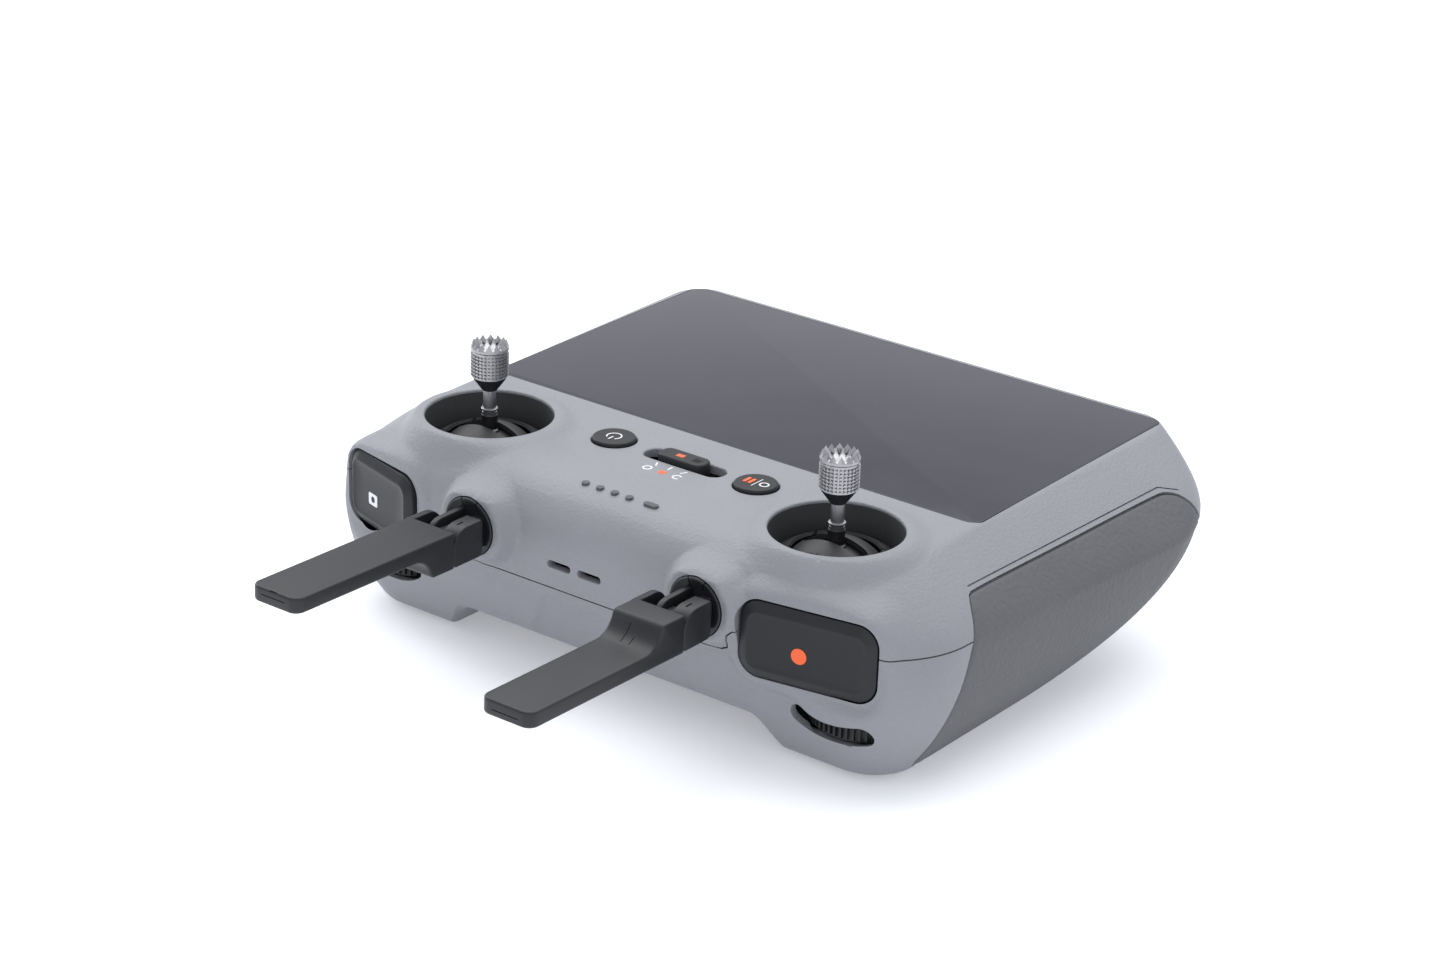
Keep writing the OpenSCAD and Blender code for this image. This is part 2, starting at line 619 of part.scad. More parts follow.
// ---- small parts in the back ------------------------------------------------------------
module stick_stay(side) {
    // soft clip that holds a spare stick in its trough
    color([0.10, 0.10, 0.11]) place() translate([side * trough_x, trough_y, 0]) difference() {
        translate([0, 0, 11.2]) cube([6.6, 6.6, 6], center = true);
        translate([0, 0, hollow_z]) rotate([90, 0, 0]) cylinder(r = 4.4, h = 10, center = true);
    }
}
module left_stick_stay() { stick_stay(-1); }
module right_stick_stay() { stick_stay(1); }

screw_spots = [[-33, -66], [33, -66], [-33, 14], [33, 14], [-58, -38], [58, -38]];
function screw_head_z(p) = abs(p[0]) > 50 ? 0.8 : p[1] > 0 ? 11.4 : hollow_z + 0.6;
module case_screws() {
    color("silver") place() for (p = screw_spots) translate([p[0], p[1], screw_head_z(p)])
        difference() {
            union() { cylinder(r = 1.5, h = 1.2); cylinder(r = 0.9, h = 8); }
            translate([0, 0, -eps]) cylinder(r = 0.7, h = 0.7, $fn = 6);
        }
}
module board_screws() {
    color("silver") place() for (p = board_screw_spots) translate([p[0], p[1], board_z + 1.2])
        { cylinder(r = 1.9, h = 0.9); translate([0, 0, -4.2]) cylinder(r = 1, h = 4.3); }
}

top_shell();
bottom_shell();
left_grip_pad();
right_grip_pad();
screen_glass();
display_panel();
display_frame();
main_board();
battery_pack();
speaker();
light_guides();
mode_switch();
power_button();
pause_button();
record_button();
shutter_button();
record_switch_board();
shutter_switch_board();
left_wheel();
left_wheel_bracket();
right_wheel();
right_wheel_bracket();
left_back_button();
right_back_button();
back_switch_boards();
usb_socket();
card_socket();
left_gimbal_frame();
left_gimbal_yoke();
left_gimbal_ball();
left_stick();
left_well_liner();
right_gimbal_frame();
right_gimbal_yoke();
right_gimbal_ball();
right_stick();
right_well_liner();
left_antenna_hub();
left_antenna();
left_antenna_pin();
right_antenna_hub();
right_antenna();
right_antenna_pin();
top_switch_board();
left_stick_stay();
right_stick_stay();
case_screws();
board_screws();
vent_mesh();
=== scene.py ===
"""Looks for the handheld radio transmitter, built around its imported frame.

Shapes are worked out in millimetres from the middle of the cover glass, as the maker's drawing is, and
become metres in the shared frame when a piece is made.
"""
import math

import bmesh
import bpy
import numpy as np
from mathutils import Matrix, Vector
from mathutils.bvhtree import BVHTree
from mathutils.geometry import barycentric_transform


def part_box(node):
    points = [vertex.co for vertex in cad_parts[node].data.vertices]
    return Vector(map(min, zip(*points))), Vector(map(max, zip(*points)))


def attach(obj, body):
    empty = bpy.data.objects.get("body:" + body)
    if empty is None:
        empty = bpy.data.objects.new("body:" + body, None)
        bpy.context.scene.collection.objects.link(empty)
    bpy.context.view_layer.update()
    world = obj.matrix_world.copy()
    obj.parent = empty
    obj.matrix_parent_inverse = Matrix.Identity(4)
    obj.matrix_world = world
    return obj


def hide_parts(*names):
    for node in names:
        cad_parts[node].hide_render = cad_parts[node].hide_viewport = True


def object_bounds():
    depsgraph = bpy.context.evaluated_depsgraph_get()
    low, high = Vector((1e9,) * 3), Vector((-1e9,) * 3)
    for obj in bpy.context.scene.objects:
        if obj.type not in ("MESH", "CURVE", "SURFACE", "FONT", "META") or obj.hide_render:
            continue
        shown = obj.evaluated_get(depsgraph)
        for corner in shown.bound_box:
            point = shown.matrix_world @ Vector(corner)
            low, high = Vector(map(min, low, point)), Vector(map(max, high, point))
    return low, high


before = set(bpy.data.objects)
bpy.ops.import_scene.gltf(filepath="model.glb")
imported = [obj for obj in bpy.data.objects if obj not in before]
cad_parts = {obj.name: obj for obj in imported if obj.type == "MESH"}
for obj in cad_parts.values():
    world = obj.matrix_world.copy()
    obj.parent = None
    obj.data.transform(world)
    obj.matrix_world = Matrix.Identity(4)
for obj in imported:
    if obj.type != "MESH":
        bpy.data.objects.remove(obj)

cad_low, cad_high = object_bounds()
MM = 0.001
LEFT, RIGHT = -1, 1
SIDE_NAME = {LEFT: "left", RIGHT: "right"}


def box_mm(node):
    """Lowest and highest corner of a node, in millimetres."""
    low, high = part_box(node)
    return low / MM, high / MM


glass_low, glass_high = box_mm("screen_glass")
GLASS_Y = (glass_low.y + glass_high.y) / 2


def middle_mm(node):
    """Middle of a node, in millimetres from the glass centre."""
    low, high = box_mm(node)
    return (low.x + high.x) / 2, (low.y + high.y) / 2 - GLASS_Y, (low.z + high.z) / 2


TOP = glass_high.z
GLASS_W = glass_high.x - glass_low.x
GLASS_L = glass_high.y - glass_low.y
BODY_W = box_mm("left_grip_pad")[0].x * -2
REAR_Y = cad_high.y / MM - GLASS_Y
HUB_DEPTH = 9.9                                          # from a hub's face to its inner end
FACE_Y = box_mm("left_antenna_hub")[1].y - HUB_DEPTH - GLASS_Y
TIP_Y = cad_low.y / MM - GLASS_Y + 0.15                  # end of the antennas, just inside their CAD ends
WALL = 2.0
PAD_T = 1.2
FAR = 9                                                  # how far a cutter runs past what it cuts


# ---- making meshes -----------------------------------------------------------------------
def linked(name, data):
    """A new object in the scene, from a mesh, a lamp or a camera."""
    made = bpy.data.objects.new(name, data)
    bpy.context.scene.collection.objects.link(made)
    return made


def solid(name, points, faces):
    """A closed mesh object from points in metres."""
    mesh = bpy.data.meshes.new(name)
    mesh.from_pydata(points, [], faces)
    made = linked(name, mesh)
    face_out(made)
    return made


def make(name, points, faces, at=None):
    """A closed mesh object from points in millimetres from the glass centre; at places them first."""
    points = np.asarray(points, float)
    if at is not None:
        points = placed(points, at)
    points = (points + (0, GLASS_Y, 0)) * MM
    return solid(name, points.tolist(), [list(map(int, f)) for f in faces])


def placed(points, at):
    """Points moved by a 4 x 4 matrix."""
    turn = np.array(at)
    return points @ turn[:3, :3].T + turn[:3, 3]


def face_out(piece):
    """Merges doubled points and turns every face outwards."""
    work = bmesh.new()
    work.from_mesh(piece.data)
    bmesh.ops.remove_doubles(work, verts=work.verts, dist=1e-7)
    bmesh.ops.recalc_face_normals(work, faces=work.faces)
    if work.calc_volume(signed=True) < 0:
        bmesh.ops.reverse_faces(work, faces=work.faces)
    work.to_mesh(piece.data)
    work.free()


def baked(piece):
    """Turns a piece's modifiers into plain mesh."""
    graph = bpy.context.evaluated_depsgraph_get()
    mesh = bpy.data.meshes.new_from_object(piece.evaluated_get(graph))
    piece.modifiers.clear()
    old = piece.data
    piece.data = mesh
    bpy.data.meshes.remove(old)
    return piece


def carve(piece, *others, operation="DIFFERENCE"):
    """Cuts other solids out of a piece, or joins or intersects them, and removes them."""
    for other in others:
        cut = piece.modifiers.new("carve", "BOOLEAN")
        cut.operation = operation
        cut.solver = "MANIFOLD"
        cut.object = other
        baked(piece)
        bpy.data.objects.remove(other)
    return piece


def copy_of(piece):
    """A second piece with a mesh of its own."""
    twin = piece.copy()
    twin.data = piece.data.copy()
    bpy.context.scene.collection.objects.link(twin)
    return twin


def joined(name, *pieces):
    """Several pieces as one object of separate solids."""
    with bpy.context.temp_override(active_object=pieces[0], selected_editable_objects=list(pieces)):
        bpy.ops.object.join()
    pieces[0].name = name
    return pieces[0]


def rounded(piece, width, segments=3, angle=30):
    """Rounds a piece's sharp edges."""
    bevel = piece.modifiers.new("edge", "BEVEL")
    bevel.width = width * MM
    bevel.segments = segments
    bevel.limit_method = "ANGLE"
    bevel.angle_limit = math.radians(angle)
    bevel.use_clamp_overlap = True
    return baked(piece)


def smooth(piece, angle=30, skin=None):
    """Smooth shading with sharp creases; faces still on the skin keep the skin's own normals."""
    mesh = piece.data
    mesh.polygons.foreach_set("use_smooth", [True] * len(mesh.polygons))
    mesh.set_sharp_from_angle(angle=math.radians(angle))
    if skin is None:
        return piece
    found = [on_skin(skin, v.co) for v in mesh.vertices]
    split = [corner.vector.copy() for corner in mesh.corner_normals]
    for polygon in mesh.polygons:
        near = [found[i] for i in polygon.vertices]
        if all(n is not None and n.dot(polygon.normal) > 0.6 for n in near):
            for loop, normal in zip(polygon.loop_indices, near):
                split[loop] = normal
    mesh.normals_split_custom_set([tuple(n) for n in split])
    return piece


def skin_of(piece):
    """A search tree of a smooth surface with its corners and their normals."""
    work = bmesh.new()
    work.from_mesh(piece.data)
    bmesh.ops.triangulate(work, faces=work.faces)
    work.normal_update()
    tree = BVHTree.FromBMesh(work)
    corners = [[v.co.copy() for v in f.verts] for f in work.faces]
    normals = [[v.normal.copy() for v in f.verts] for f in work.faces]
    work.free()
    return tree, corners, normals


def on_skin(skin, point, reach=4e-6):
    """The skin's own normal at a point, or None where the point isn't on the skin."""
    tree, corners, normals = skin
    place, _, index, distance = tree.find_nearest(point)
    if place is None or distance > reach:
        return None
    return barycentric_transform(place, *corners[index], *normals[index]).normalized()


def strip(rings):
    """Faces between closed rings of equal length, as point numbers."""
    count = len(rings[0])
    faces = []
    for a, b in zip(rings[:-1], rings[1:]):
        faces += [(a[i], a[(i + 1) % count], b[(i + 1) % count], b[i]) for i in range(count)]
    return faces


def loft(name, rows, at=None):
    """Closed solid through rows of points, each a closed ring of the same length."""
    rows = [np.asarray(r, float) for r in rows]
    count = len(rows[0])
    rings = [range(k * count, (k + 1) * count) for k in range(len(rows))]
    faces = strip(rings) + [tuple(rings[0])[::-1], tuple(rings[-1])]
    return make(name, np.concatenate(rows), faces, at)


def turned(name, profile, at=None, steps=96):
    """Solid of revolution about Z from (radius, height) points, closed on itself or on the axis."""
    angles = np.arange(steps) * 2 * math.pi / steps
    ring = np.stack([np.cos(angles), np.sin(angles)], 1)
    on_axis = profile[0][0] == 0
    points, rings = [], []
    for radius, height in profile:
        rings.append(range(len(points), len(points) + steps))
        points += [(x * radius, y * radius, height) for x, y in ring]
    if not on_axis:
        rings.append(rings[0])
    return make(name, points, strip(rings), at)


def arc(centre, radius, start, end, steps):
    """Points on an arc, with angles in degrees."""
    angles = np.radians(np.linspace(start, end, steps))
    return [(centre[0] + radius * math.cos(a), centre[1] + radius * math.sin(a)) for a in angles]


def round_box(width, height, radius, steps=9):
    """Outline of a rounded rectangle, as a function of how far it is grown."""
    def outline(grow=0.0):
        r = max(radius + grow, 0.02)
        x, y = width / 2 + grow - r, height / 2 + grow - r
        corners = ((x, y, 0), (-x, y, 90), (-x, -y, 180), (x, -y, 270))
        return [p for cx, cy, a in corners for p in arc((cx, cy), r, a, a + 90, steps)]
    return outline


def stack(name, outline, levels, at=None):
    """Closed solid from one outline: levels are (how far grown, height)."""
    return loft(name, [[(x, y, z) for x, y in outline(grow)] for grow, z in levels], at)


def edge_levels(low, high, top_r, steps=5):
    """Levels of a slab whose top edge is rounded."""
    return [(0, low)] + [(x - top_r, high - top_r + y) for x, y in arc((0, 0), top_r, 0, 90, steps)]


def round_cutter(name, r, low, high, lip, at, steps=96, edge_steps=5):
    """A round cutter whose mouth at height high is rounded outwards."""
    mouth = [(r + lip - x, high - lip + y) for x, y in arc((0, 0), lip, 0, 90, edge_steps)]
    beyond = [(r + lip + 0.01, high + FAR), (0, high + FAR)]
    return turned(name, [(0, low), (r, low)] + mouth + beyond, at, steps)


def rod(name, radius, low, high, at, steps=48):
    """A plain round bar, or a cutter for a plain hole."""
    return turned(name, [(0, low), (radius, low), (radius, high), (0, high)], at, steps)


def block(name, low_corner, high_corner, at=None, radius=0.0):
    """A block between two corners, whose upright edges may be rounded."""
    (x0, y0, z0), (x1, y1, z1) = low_corner, high_corner
    if radius:
        middle = slide_to((x0 + x1) / 2, (y0 + y1) / 2, 0)
        return stack(name, round_box(x1 - x0, y1 - y0, radius), [(0, z0), (0, z1)], middle)
    corners = ((x0, y0), (x1, y0), (x1, y1), (x0, y1))
    return loft(name, [[(x, y, z) for x, y in corners] for z in (z0, z1)], at)


def slide_to(x, y, z, turn=0.0):
    """A place in millimetres, perhaps turned about Z in degrees."""
    return Matrix.Translation((x, y, z)) @ Matrix.Rotation(math.radians(turn), 4, "Z")


FACING_FRONT = Matrix(((1, 0, 0, 0), (0, 0, -1, 0), (0, 1, 0, 0), (0, 0, 0, 1)))   # drawn Z becomes -Y
ALONG_X = Matrix(((0, 0, 1, 0), (1, 0, 0, 0), (0, 1, 0, 0), (0, 0, 0, 1)))         # drawn X, Y, Z are Y, Z, X
ALONG_Y = Matrix(((1, 0, 0, 0), (0, 0, 1, 0), (0, 1, 0, 0), (0, 0, 0, 1)))         # drawn X, Y, Z are X, Z, Y


def on_front(x, y, z):
    """A place for something drawn upright that points forwards."""
    return Matrix.Translation((x, y, z)) @ FACING_FRONT


def slab(name, outline, low, high, at):
    """A flat outline drawn out between two heights."""
    return loft(name, [[(x, y, z) for x, y in outline] for z in (low, high)], at)


# ---- geometry nodes ----------------------------------------------------------------------
def input_of(node, key):
    """A node's input by its name, with _ for a space, or by its number, as in _0."""
    return node.inputs[int(key[1:])] if key[0] == "_" else node.inputs[key.replace("_", " ")]


class Pattern:
    """A geometry node tree with named inputs; node() adds any node and returns its first output."""

    def __init__(self, name, **inputs):
        self.tree = bpy.data.node_groups.new(name, "GeometryNodeTree")
        self.tree.interface.new_socket("Geometry", in_out="OUTPUT", socket_type="NodeSocketGeometry")
        self.tree.interface.new_socket("Geometry", in_out="INPUT", socket_type="NodeSocketGeometry")
        for label, kind in inputs.items():
            self.tree.interface.new_socket(label, in_out="INPUT", socket_type="NodeSocket" + kind)
        self.entry = self.tree.nodes.new("NodeGroupInput")
        self.exit = self.tree.nodes.new("NodeGroupOutput")

    def given(self, label):
        return self.entry.outputs[label]

    def node(self, kind, settings=None, **values):
        made = self.tree.nodes.new(kind)
        for key, value in (settings or {}).items():
            setattr(made, key, value)
        for key, value in values.items():
            if isinstance(value, bpy.types.NodeSocket):
                self.tree.links.new(value, input_of(made, key))
            else:
                input_of(made, key).default_value = value
        return made.outputs[0]

    def finish(self, geometry):
        solid = self.node("GeometryNodeRealizeInstances", Geometry=geometry)
        painted = self.node("GeometryNodeSetMaterial", Geometry=solid, Material=self.given("Finish"))
        self.tree.links.new(painted, self.exit.inputs[0])
        return self.tree

    def grow(self, piece, **inputs):
        """Runs the tree on a piece and leaves plain mesh."""
        modifier = piece.modifiers.new("pattern", "NODES")
        modifier.node_group = self.tree
        for item in self.tree.interface.items_tree:
            if item.in_out == "INPUT" and item.name in inputs:
                modifier[item.identifier] = inputs[item.name]
        return baked(piece)


def ring_pattern():
    """Rows of equal studs round an axis, each turned to face outwards."""
    p = Pattern("rows_of_studs", Count="Int", Rows="Int", Radius="Float", Start="Float", Pitch="Float",
                Finish="Material")
    start = p.node("ShaderNodeCombineXYZ", Z=p.given("Start"))
    step = p.node("ShaderNodeCombineXYZ", Z=p.given("Pitch"))
    line = p.node("GeometryNodeMeshLine", Count=p.given("Rows"), Start_Location=start, Offset=step)
    circle = p.node("GeometryNodeMeshCircle", Vertices=p.given("Count"), Radius=p.given("Radius"))
    rows = p.node("GeometryNodeInstanceOnPoints", Points=line, Instance=circle)
    points = p.node("GeometryNodeRealizeInstances", Geometry=rows)
    axes = p.node("ShaderNodeSeparateXYZ", _0=p.node("GeometryNodeInputPosition")).node.outputs
    angle = p.node("ShaderNodeMath", {"operation": "ARCTAN2"}, _0=axes["Y"], _1=axes["X"])
    turn = p.node("ShaderNodeCombineXYZ", Z=angle)
    studs = p.node("GeometryNodeInstanceOnPoints", Points=points, Instance=p.given("Geometry"), Rotation=turn)
    p.finish(studs)
    return p


def spot_pattern():
    """One copy of a piece at each point of a grid."""
    p = Pattern("grid_of_pieces", Columns="Int", Rows="Int", Width="Float", Depth="Float", Finish="Material")
    grid = p.node("GeometryNodeMeshGrid", Size_X=p.given("Width"), Size_Y=p.given("Depth"),
                  Vertices_X=p.given("Columns"), Vertices_Y=p.given("Rows"))
    p.finish(p.node("GeometryNodeInstanceOnPoints", Points=grid, Instance=p.given("Geometry")))
    return p


STUD_ROWS = ring_pattern()
PIECE_GRID = spot_pattern()


def moved(piece, x, y, z):
    """Moves the mesh of a piece drawn round the frame's origin, in millimetres from the glass centre."""
    piece.data.transform(Matrix.Translation(Vector((x, y + GLASS_Y, z)) * MM))
    return piece


def stud(name, length, width, height, taper=1.0):
    """A small block about the origin in metres, narrower at its outer end."""
    points = [(end * length / 2 * MM, y * width / 2 * MM * narrow, z * height / 2 * MM * narrow)
              for end, narrow in ((-1, 1), (1, taper)) for y in (-1, 1) for z in (-1, 1)]
    faces = [(0, 1, 3, 2), (4, 6, 7, 5), (0, 4, 5, 1), (2, 3, 7, 6), (0, 2, 6, 4), (1, 5, 7, 3)]
    return solid(name, points, faces)


# ---- materials ---------------------------------------------------------------------------
class Value:
    """A shader socket that can be written in sums."""

    def __init__(self, finish, socket):
        self.finish = finish
        self.socket = socket

    def __add__(self, other):
        return self.finish.node("Math", {"operation": "ADD"}, _0=self, _1=other)

    def __mul__(self, other):
        return self.finish.node("Math", {"operation": "MULTIPLY"}, _0=self, _1=other)

    __radd__ = __add__
    __rmul__ = __mul__


class Finish:
    """A material; node() adds any shader node and returns one of its outputs."""

    def __init__(self, name, **constants):
        self.material = bpy.data.materials.new(name)
        self.material.use_nodes = True
        self.tree = self.material.node_tree
        self.shader = self.tree.nodes["Principled BSDF"]
        self.place = self.node("TexCoord", output="Object")
        self.set(**constants)

    def node(self, kind, settings=None, output=0, **values):
        made = self.tree.nodes.new("ShaderNode" + kind)
        for key, value in (settings or {}).items():
            if key == "stops":
                for element, (position, colour) in zip(made.color_ramp.elements, value):
                    element.position = position
                    element.color = (*colour, 1)
            else:
                setattr(made, key, value)
        self.feed(made, values)
        return Value(self, made.outputs[output])

    def feed(self, node, values):
        """Sets a node's inputs from numbers or from the outputs of other nodes."""
        for key, value in values.items():
            if isinstance(value, Value):
                self.tree.links.new(value.socket, input_of(node, key))
            else:
                input_of(node, key).default_value = value

    def noise(self, size, detail=3, rough=0.55):
        """Cloudy pattern whose lumps are about size millimetres."""
        return self.node("TexNoise", Vector=self.place, Scale=1 / (size * MM), Detail=detail, Roughness=rough)

    def cells(self, size, feature="F1"):
        return self.node("TexVoronoi", {"feature": feature}, Vector=self.place, Scale=1 / (size * MM))

    def set(self, **values):
        self.feed(self.shader, values)

    def shades(self, mask, dark, light, low=0.3, high=0.7):
        """Base colour that drifts between two shades."""
        self.set(Base_Color=self.node("ValToRGB", {"stops": [(low, dark), (high, light)]}, Fac=mask))

    def relief(self, height, depth, **coarser):
        """Bumps depth millimetres high, over a coarser relief if one is given as Normal."""
        made = self.node("Bump", Height=height, Distance=depth * MM, Strength=1.0, **coarser)
        self.set(Normal=made)
        return made


def tint(colour, factor):
    """A lighter or darker shade of a colour."""
    return tuple(c * factor for c in colour)


def moulded(name, colour, grain=0.35, depth=0.012, rough=0.5, spread=0.10, lumps=None, **constants):
    """Moulded plastic or rubber: fine grain, slow drift of shade and rubbed patches in its gloss."""
    f = Finish(name, **constants)
    slow = f.noise(22, 2)
    f.shades(slow, tint(colour, 1 - spread), tint(colour, 1 + spread))
    fine = f.noise(grain, 2, 0.6)
    f.set(Roughness=rough - 0.06 + slow * 0.08 + fine * 0.05)
    coarser = {"Normal": f.relief(f.cells(lumps, "SMOOTH_F1"), depth * 2.2)} if lumps else {}
    f.relief(fine, depth, **coarser)
    return f.material


def metal(name, colour, rough=0.28, grain=0.12, **constants):
    """Turned metal: fine tool marks and a little tarnish."""
    f = Finish(name, Metallic=1.0, **constants)
    slow = f.noise(6, 3)
    f.shades(slow, tint(colour, 0.86), colour)
    marks = f.noise(grain, 2)
    f.set(Roughness=rough - 0.05 + slow * 0.12)
    f.relief(marks, 0.004)
    return f.material


def cover_glass():
    """Black glass with faint smears in its gloss."""
    f = Finish("cover_glass", IOR=1.53, Coat_Weight=0.0)
    smear = f.noise(18, 4)
    dust = f.noise(0.9, 2)
    f.shades(smear, (0.015, 0.015, 0.024), (0.020, 0.020, 0.031))
    f.set(Roughness=0.13 + smear * 0.05 + dust * 0.012)
    f.relief(smear, 0.004)
    return f.material


def board():
    """Green circuit board with darker tracks."""
    f = Finish("board", Roughness=0.4)
    tracks = f.cells(1.6, "DISTANCE_TO_EDGE")
    f.shades(tracks, (0.05, 0.22, 0.12), (0.02, 0.12, 0.07), 0.03, 0.08)
    f.set(Roughness=0.35 + f.noise(3) * 0.2)
    f.relief(tracks, 0.03)
    return f.material


def foam_mesh():
    """Dull black weave of the vent."""
    f = Finish("woven_mesh")
    f.shades(f.cells(0.7), (0.01, 0.01, 0.01), (0.05, 0.05, 0.05))
    f.set(Roughness=0.75 + f.noise(2) * 0.1)
    return f.material


SHELL_GREY = (0.238, 0.243, 0.266)
shell_plastic = moulded("shell_plastic", SHELL_GREY, grain=0.7, depth=0.17, rough=0.50, spread=0.03)
pad_rubber = moulded("pad_rubber", (0.092, 0.095, 0.102), grain=0.5, depth=0.09, rough=0.62, spread=0.06,
                     lumps=1.1)
button_black = moulded("button_black", (0.013, 0.0135, 0.015), grain=0.25, depth=0.006, rough=0.42,
                       Specular_IOR_Level=0.32)
antenna_black = moulded("antenna_black", (0.010, 0.0105, 0.013), grain=0.3, depth=0.014, rough=0.44,
                        Specular_IOR_Level=0.45)
gimbal_black = moulded("gimbal_black", (0.022, 0.0225, 0.025), grain=0.3, depth=0.010, rough=0.5)
well_black = moulded("well_black", (0.019, 0.0195, 0.0215), grain=0.4, depth=0.012, rough=0.55)
frame_plastic = moulded("frame_plastic", (0.07, 0.07, 0.075), grain=0.5, depth=0.02, rough=0.6)
soft_black = moulded("soft_black", (0.02, 0.02, 0.021), grain=0.5, depth=0.02, rough=0.75)
cell_wrap = moulded("cell_wrap", (0.03, 0.07, 0.16), grain=2.0, depth=0.02, rough=0.3)
lamp_clear = moulded("lamp_clear", (0.075, 0.076, 0.082), grain=0.6, depth=0.004, rough=0.3)
mark_white = moulded("mark_white", (0.72, 0.73, 0.75), grain=0.3, depth=0.003, rough=0.5)
mark_orange = moulded("mark_orange", (0.86, 0.12, 0.025), grain=0.3, depth=0.003, rough=0.5)
aluminium = metal("aluminium", (0.40, 0.40, 0.41), rough=0.33)
dark_metal = metal("dark_metal", (0.10, 0.10, 0.11), rough=0.35)
plated_steel = metal("plated_steel", (0.62, 0.62, 0.64), rough=0.3)
glass_black = cover_glass()
green_board = board()
woven_mesh = foam_mesh()


def dress(piece, material, body, slot, *nodes):
    """Gives a finished piece its material and its body, and hides the nodes that it stands for; slot is not
    used.
    """
    if material is not None:
        piece.data.materials.clear()
        piece.data.materials.append(material)
    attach(piece, body)
    if nodes:
        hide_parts(*nodes)
    return piece


# ---- outline of the body -----------------------------------------------------------------
WIDE_Z, FULL_Z = 30.0, 36.0                        # heights where the body is widest and longest
SOLE_Z, SOLE_R = 2.5, 3.5                          # height and depth of the rounding along the soles
FOOT_IN, TOP_IN, SIDE_TAPER = 16.5, 18.7, 5.7      # how far the sides draw in below, above and to the front
FRONT_Y, FRONT_LOW, FRONT_HIGH = -80.8, 8.5, 7.3   # the front, and how far it draws back below and above
REAR_LOW = 42                                      # how far the rear draws in at the table
FRONT_R, FRONT_R_LESS = 21, 12                     # front corners, and how much sharper at the table
REAR_R, REAR_R_LESS = 25, 18                       # rear corners, and how much sharper at the top


def low(z):
    """1 at the table, 0 from the widest height upwards."""
    return np.maximum(0, 1 - z / WIDE_Z)


def high(z):
    """0 up to the widest height, 1 at the top."""
    return np.maximum(0, (z - WIDE_Z) / (TOP - WIDE_Z))


def edge(z):
    """How far the rounding along the soles draws in."""
    return SOLE_R * np.maximum(0, 1 - z / SOLE_Z) ** 2


def rear_half(z):
    return BODY_W / 2 - FOOT_IN * low(z) ** 2 - TOP_IN * high(z) ** 1.3 - edge(z)


def front_half(z):
    return rear_half(z) - SIDE_TAPER * (1 - low(z)) * (1 - 0.7 * high(z))


def front(z):
    return FRONT_Y + FRONT_LOW * low(z) ** 2 + FRONT_HIGH * high(z) ** 3 + edge(z)


def rear(z):
    return REAR_Y - REAR_LOW * np.maximum(0, 1 - z / FULL_Z) ** 2.1 - edge(z)


def front_r(z):
    return FRONT_R - FRONT_R_LESS * low(z)


def rear_r(z):
    return REAR_R - REAR_R_LESS * high(z) ** 0.7


FRONT_N, ARC_N, SIDE_N, REAR_N = 26, 22, 30, 18     # points along the front, a corner, the side and the rear


def body_points(z, inset):
    """Right half of the outline, from the front middle to the rear middle; z and inset are one per point."""
    count = FRONT_N + ARC_N + SIDE_N + ARC_N + REAR_N
    z = np.broadcast_to(z, count)
    inset = np.broadcast_to(inset, count)
    f, b = front(z) + inset, rear(z) - inset
    fr = np.maximum(front_r(z) - inset, 1.5)
    rr = np.maximum(rear_r(z) - inset, 1.5)
    fx, rx = front_half(z) - inset - fr, rear_half(z) - inset - rr
    out = np.zeros((count, 3))
    part = np.repeat(range(5), (FRONT_N, ARC_N, SIDE_N, ARC_N, REAR_N))
    steps = (FRONT_N, FRONT_N), (ARC_N, ARC_N), (SIDE_N, SIDE_N), (ARC_N, ARC_N), (REAR_N, REAR_N - 1)
    share = np.concatenate([np.arange(points) / last for points, last in steps])
    turn = np.radians(share * 90)
    side_a = np.stack([fx + fr, f + fr], 1)
    side_b = np.stack([rx + rr, b - rr], 1)
    shapes = (np.stack([fx * share, f], 1),
              np.stack([fx + fr * np.sin(turn), f + fr - fr * np.cos(turn)], 1),
              side_a + (side_b - side_a) * share[:, None],
              np.stack([rx + rr * np.cos(turn), b - rr + rr * np.sin(turn)], 1),
              np.stack([rx * (1 - share), b], 1))
    for k, shape in enumerate(shapes):
        out[part == k, :2] = shape[part == k]
    out[:, 2] = z
    return out


def whole_ring(half):
    """A closed outline from its right half and the mirror image of that."""
    other = half[-2:0:-1] * (-1, 1, 1)
    return np.concatenate([half, other])


def body_rows(inset, rows=44, fillets=9):
    """Rings of the body's skin, from the table up and over the rounded edge of the top."""
    top = TOP - inset
    at_top = body_points(TOP, 0)
    # the edge of the top is rounded more at the front than at the rear
    spread = np.interp(at_top[:, 1], [-73, -58, -40, REAR_Y], [5.5, 3.0, 1.1, 0.9])
    start = top - spread * 0.55
    # the rings lie closer together near the table
    climbs = [0.65 * share + 0.35 * share ** 2 for share in np.linspace(0, 1, rows)]
    made = [body_points(inset + (start - inset) * climb, inset) for climb in climbs]
    first, corner, last = body_points(start, inset), body_points(top, inset), body_points(top, inset + spread)
    for share in np.linspace(0, 1, fillets)[1:]:
        made.append(first * (1 - share) ** 2 + corner * 2 * share * (1 - share) + last * share ** 2)
    return [whole_ring(half) for half in made]


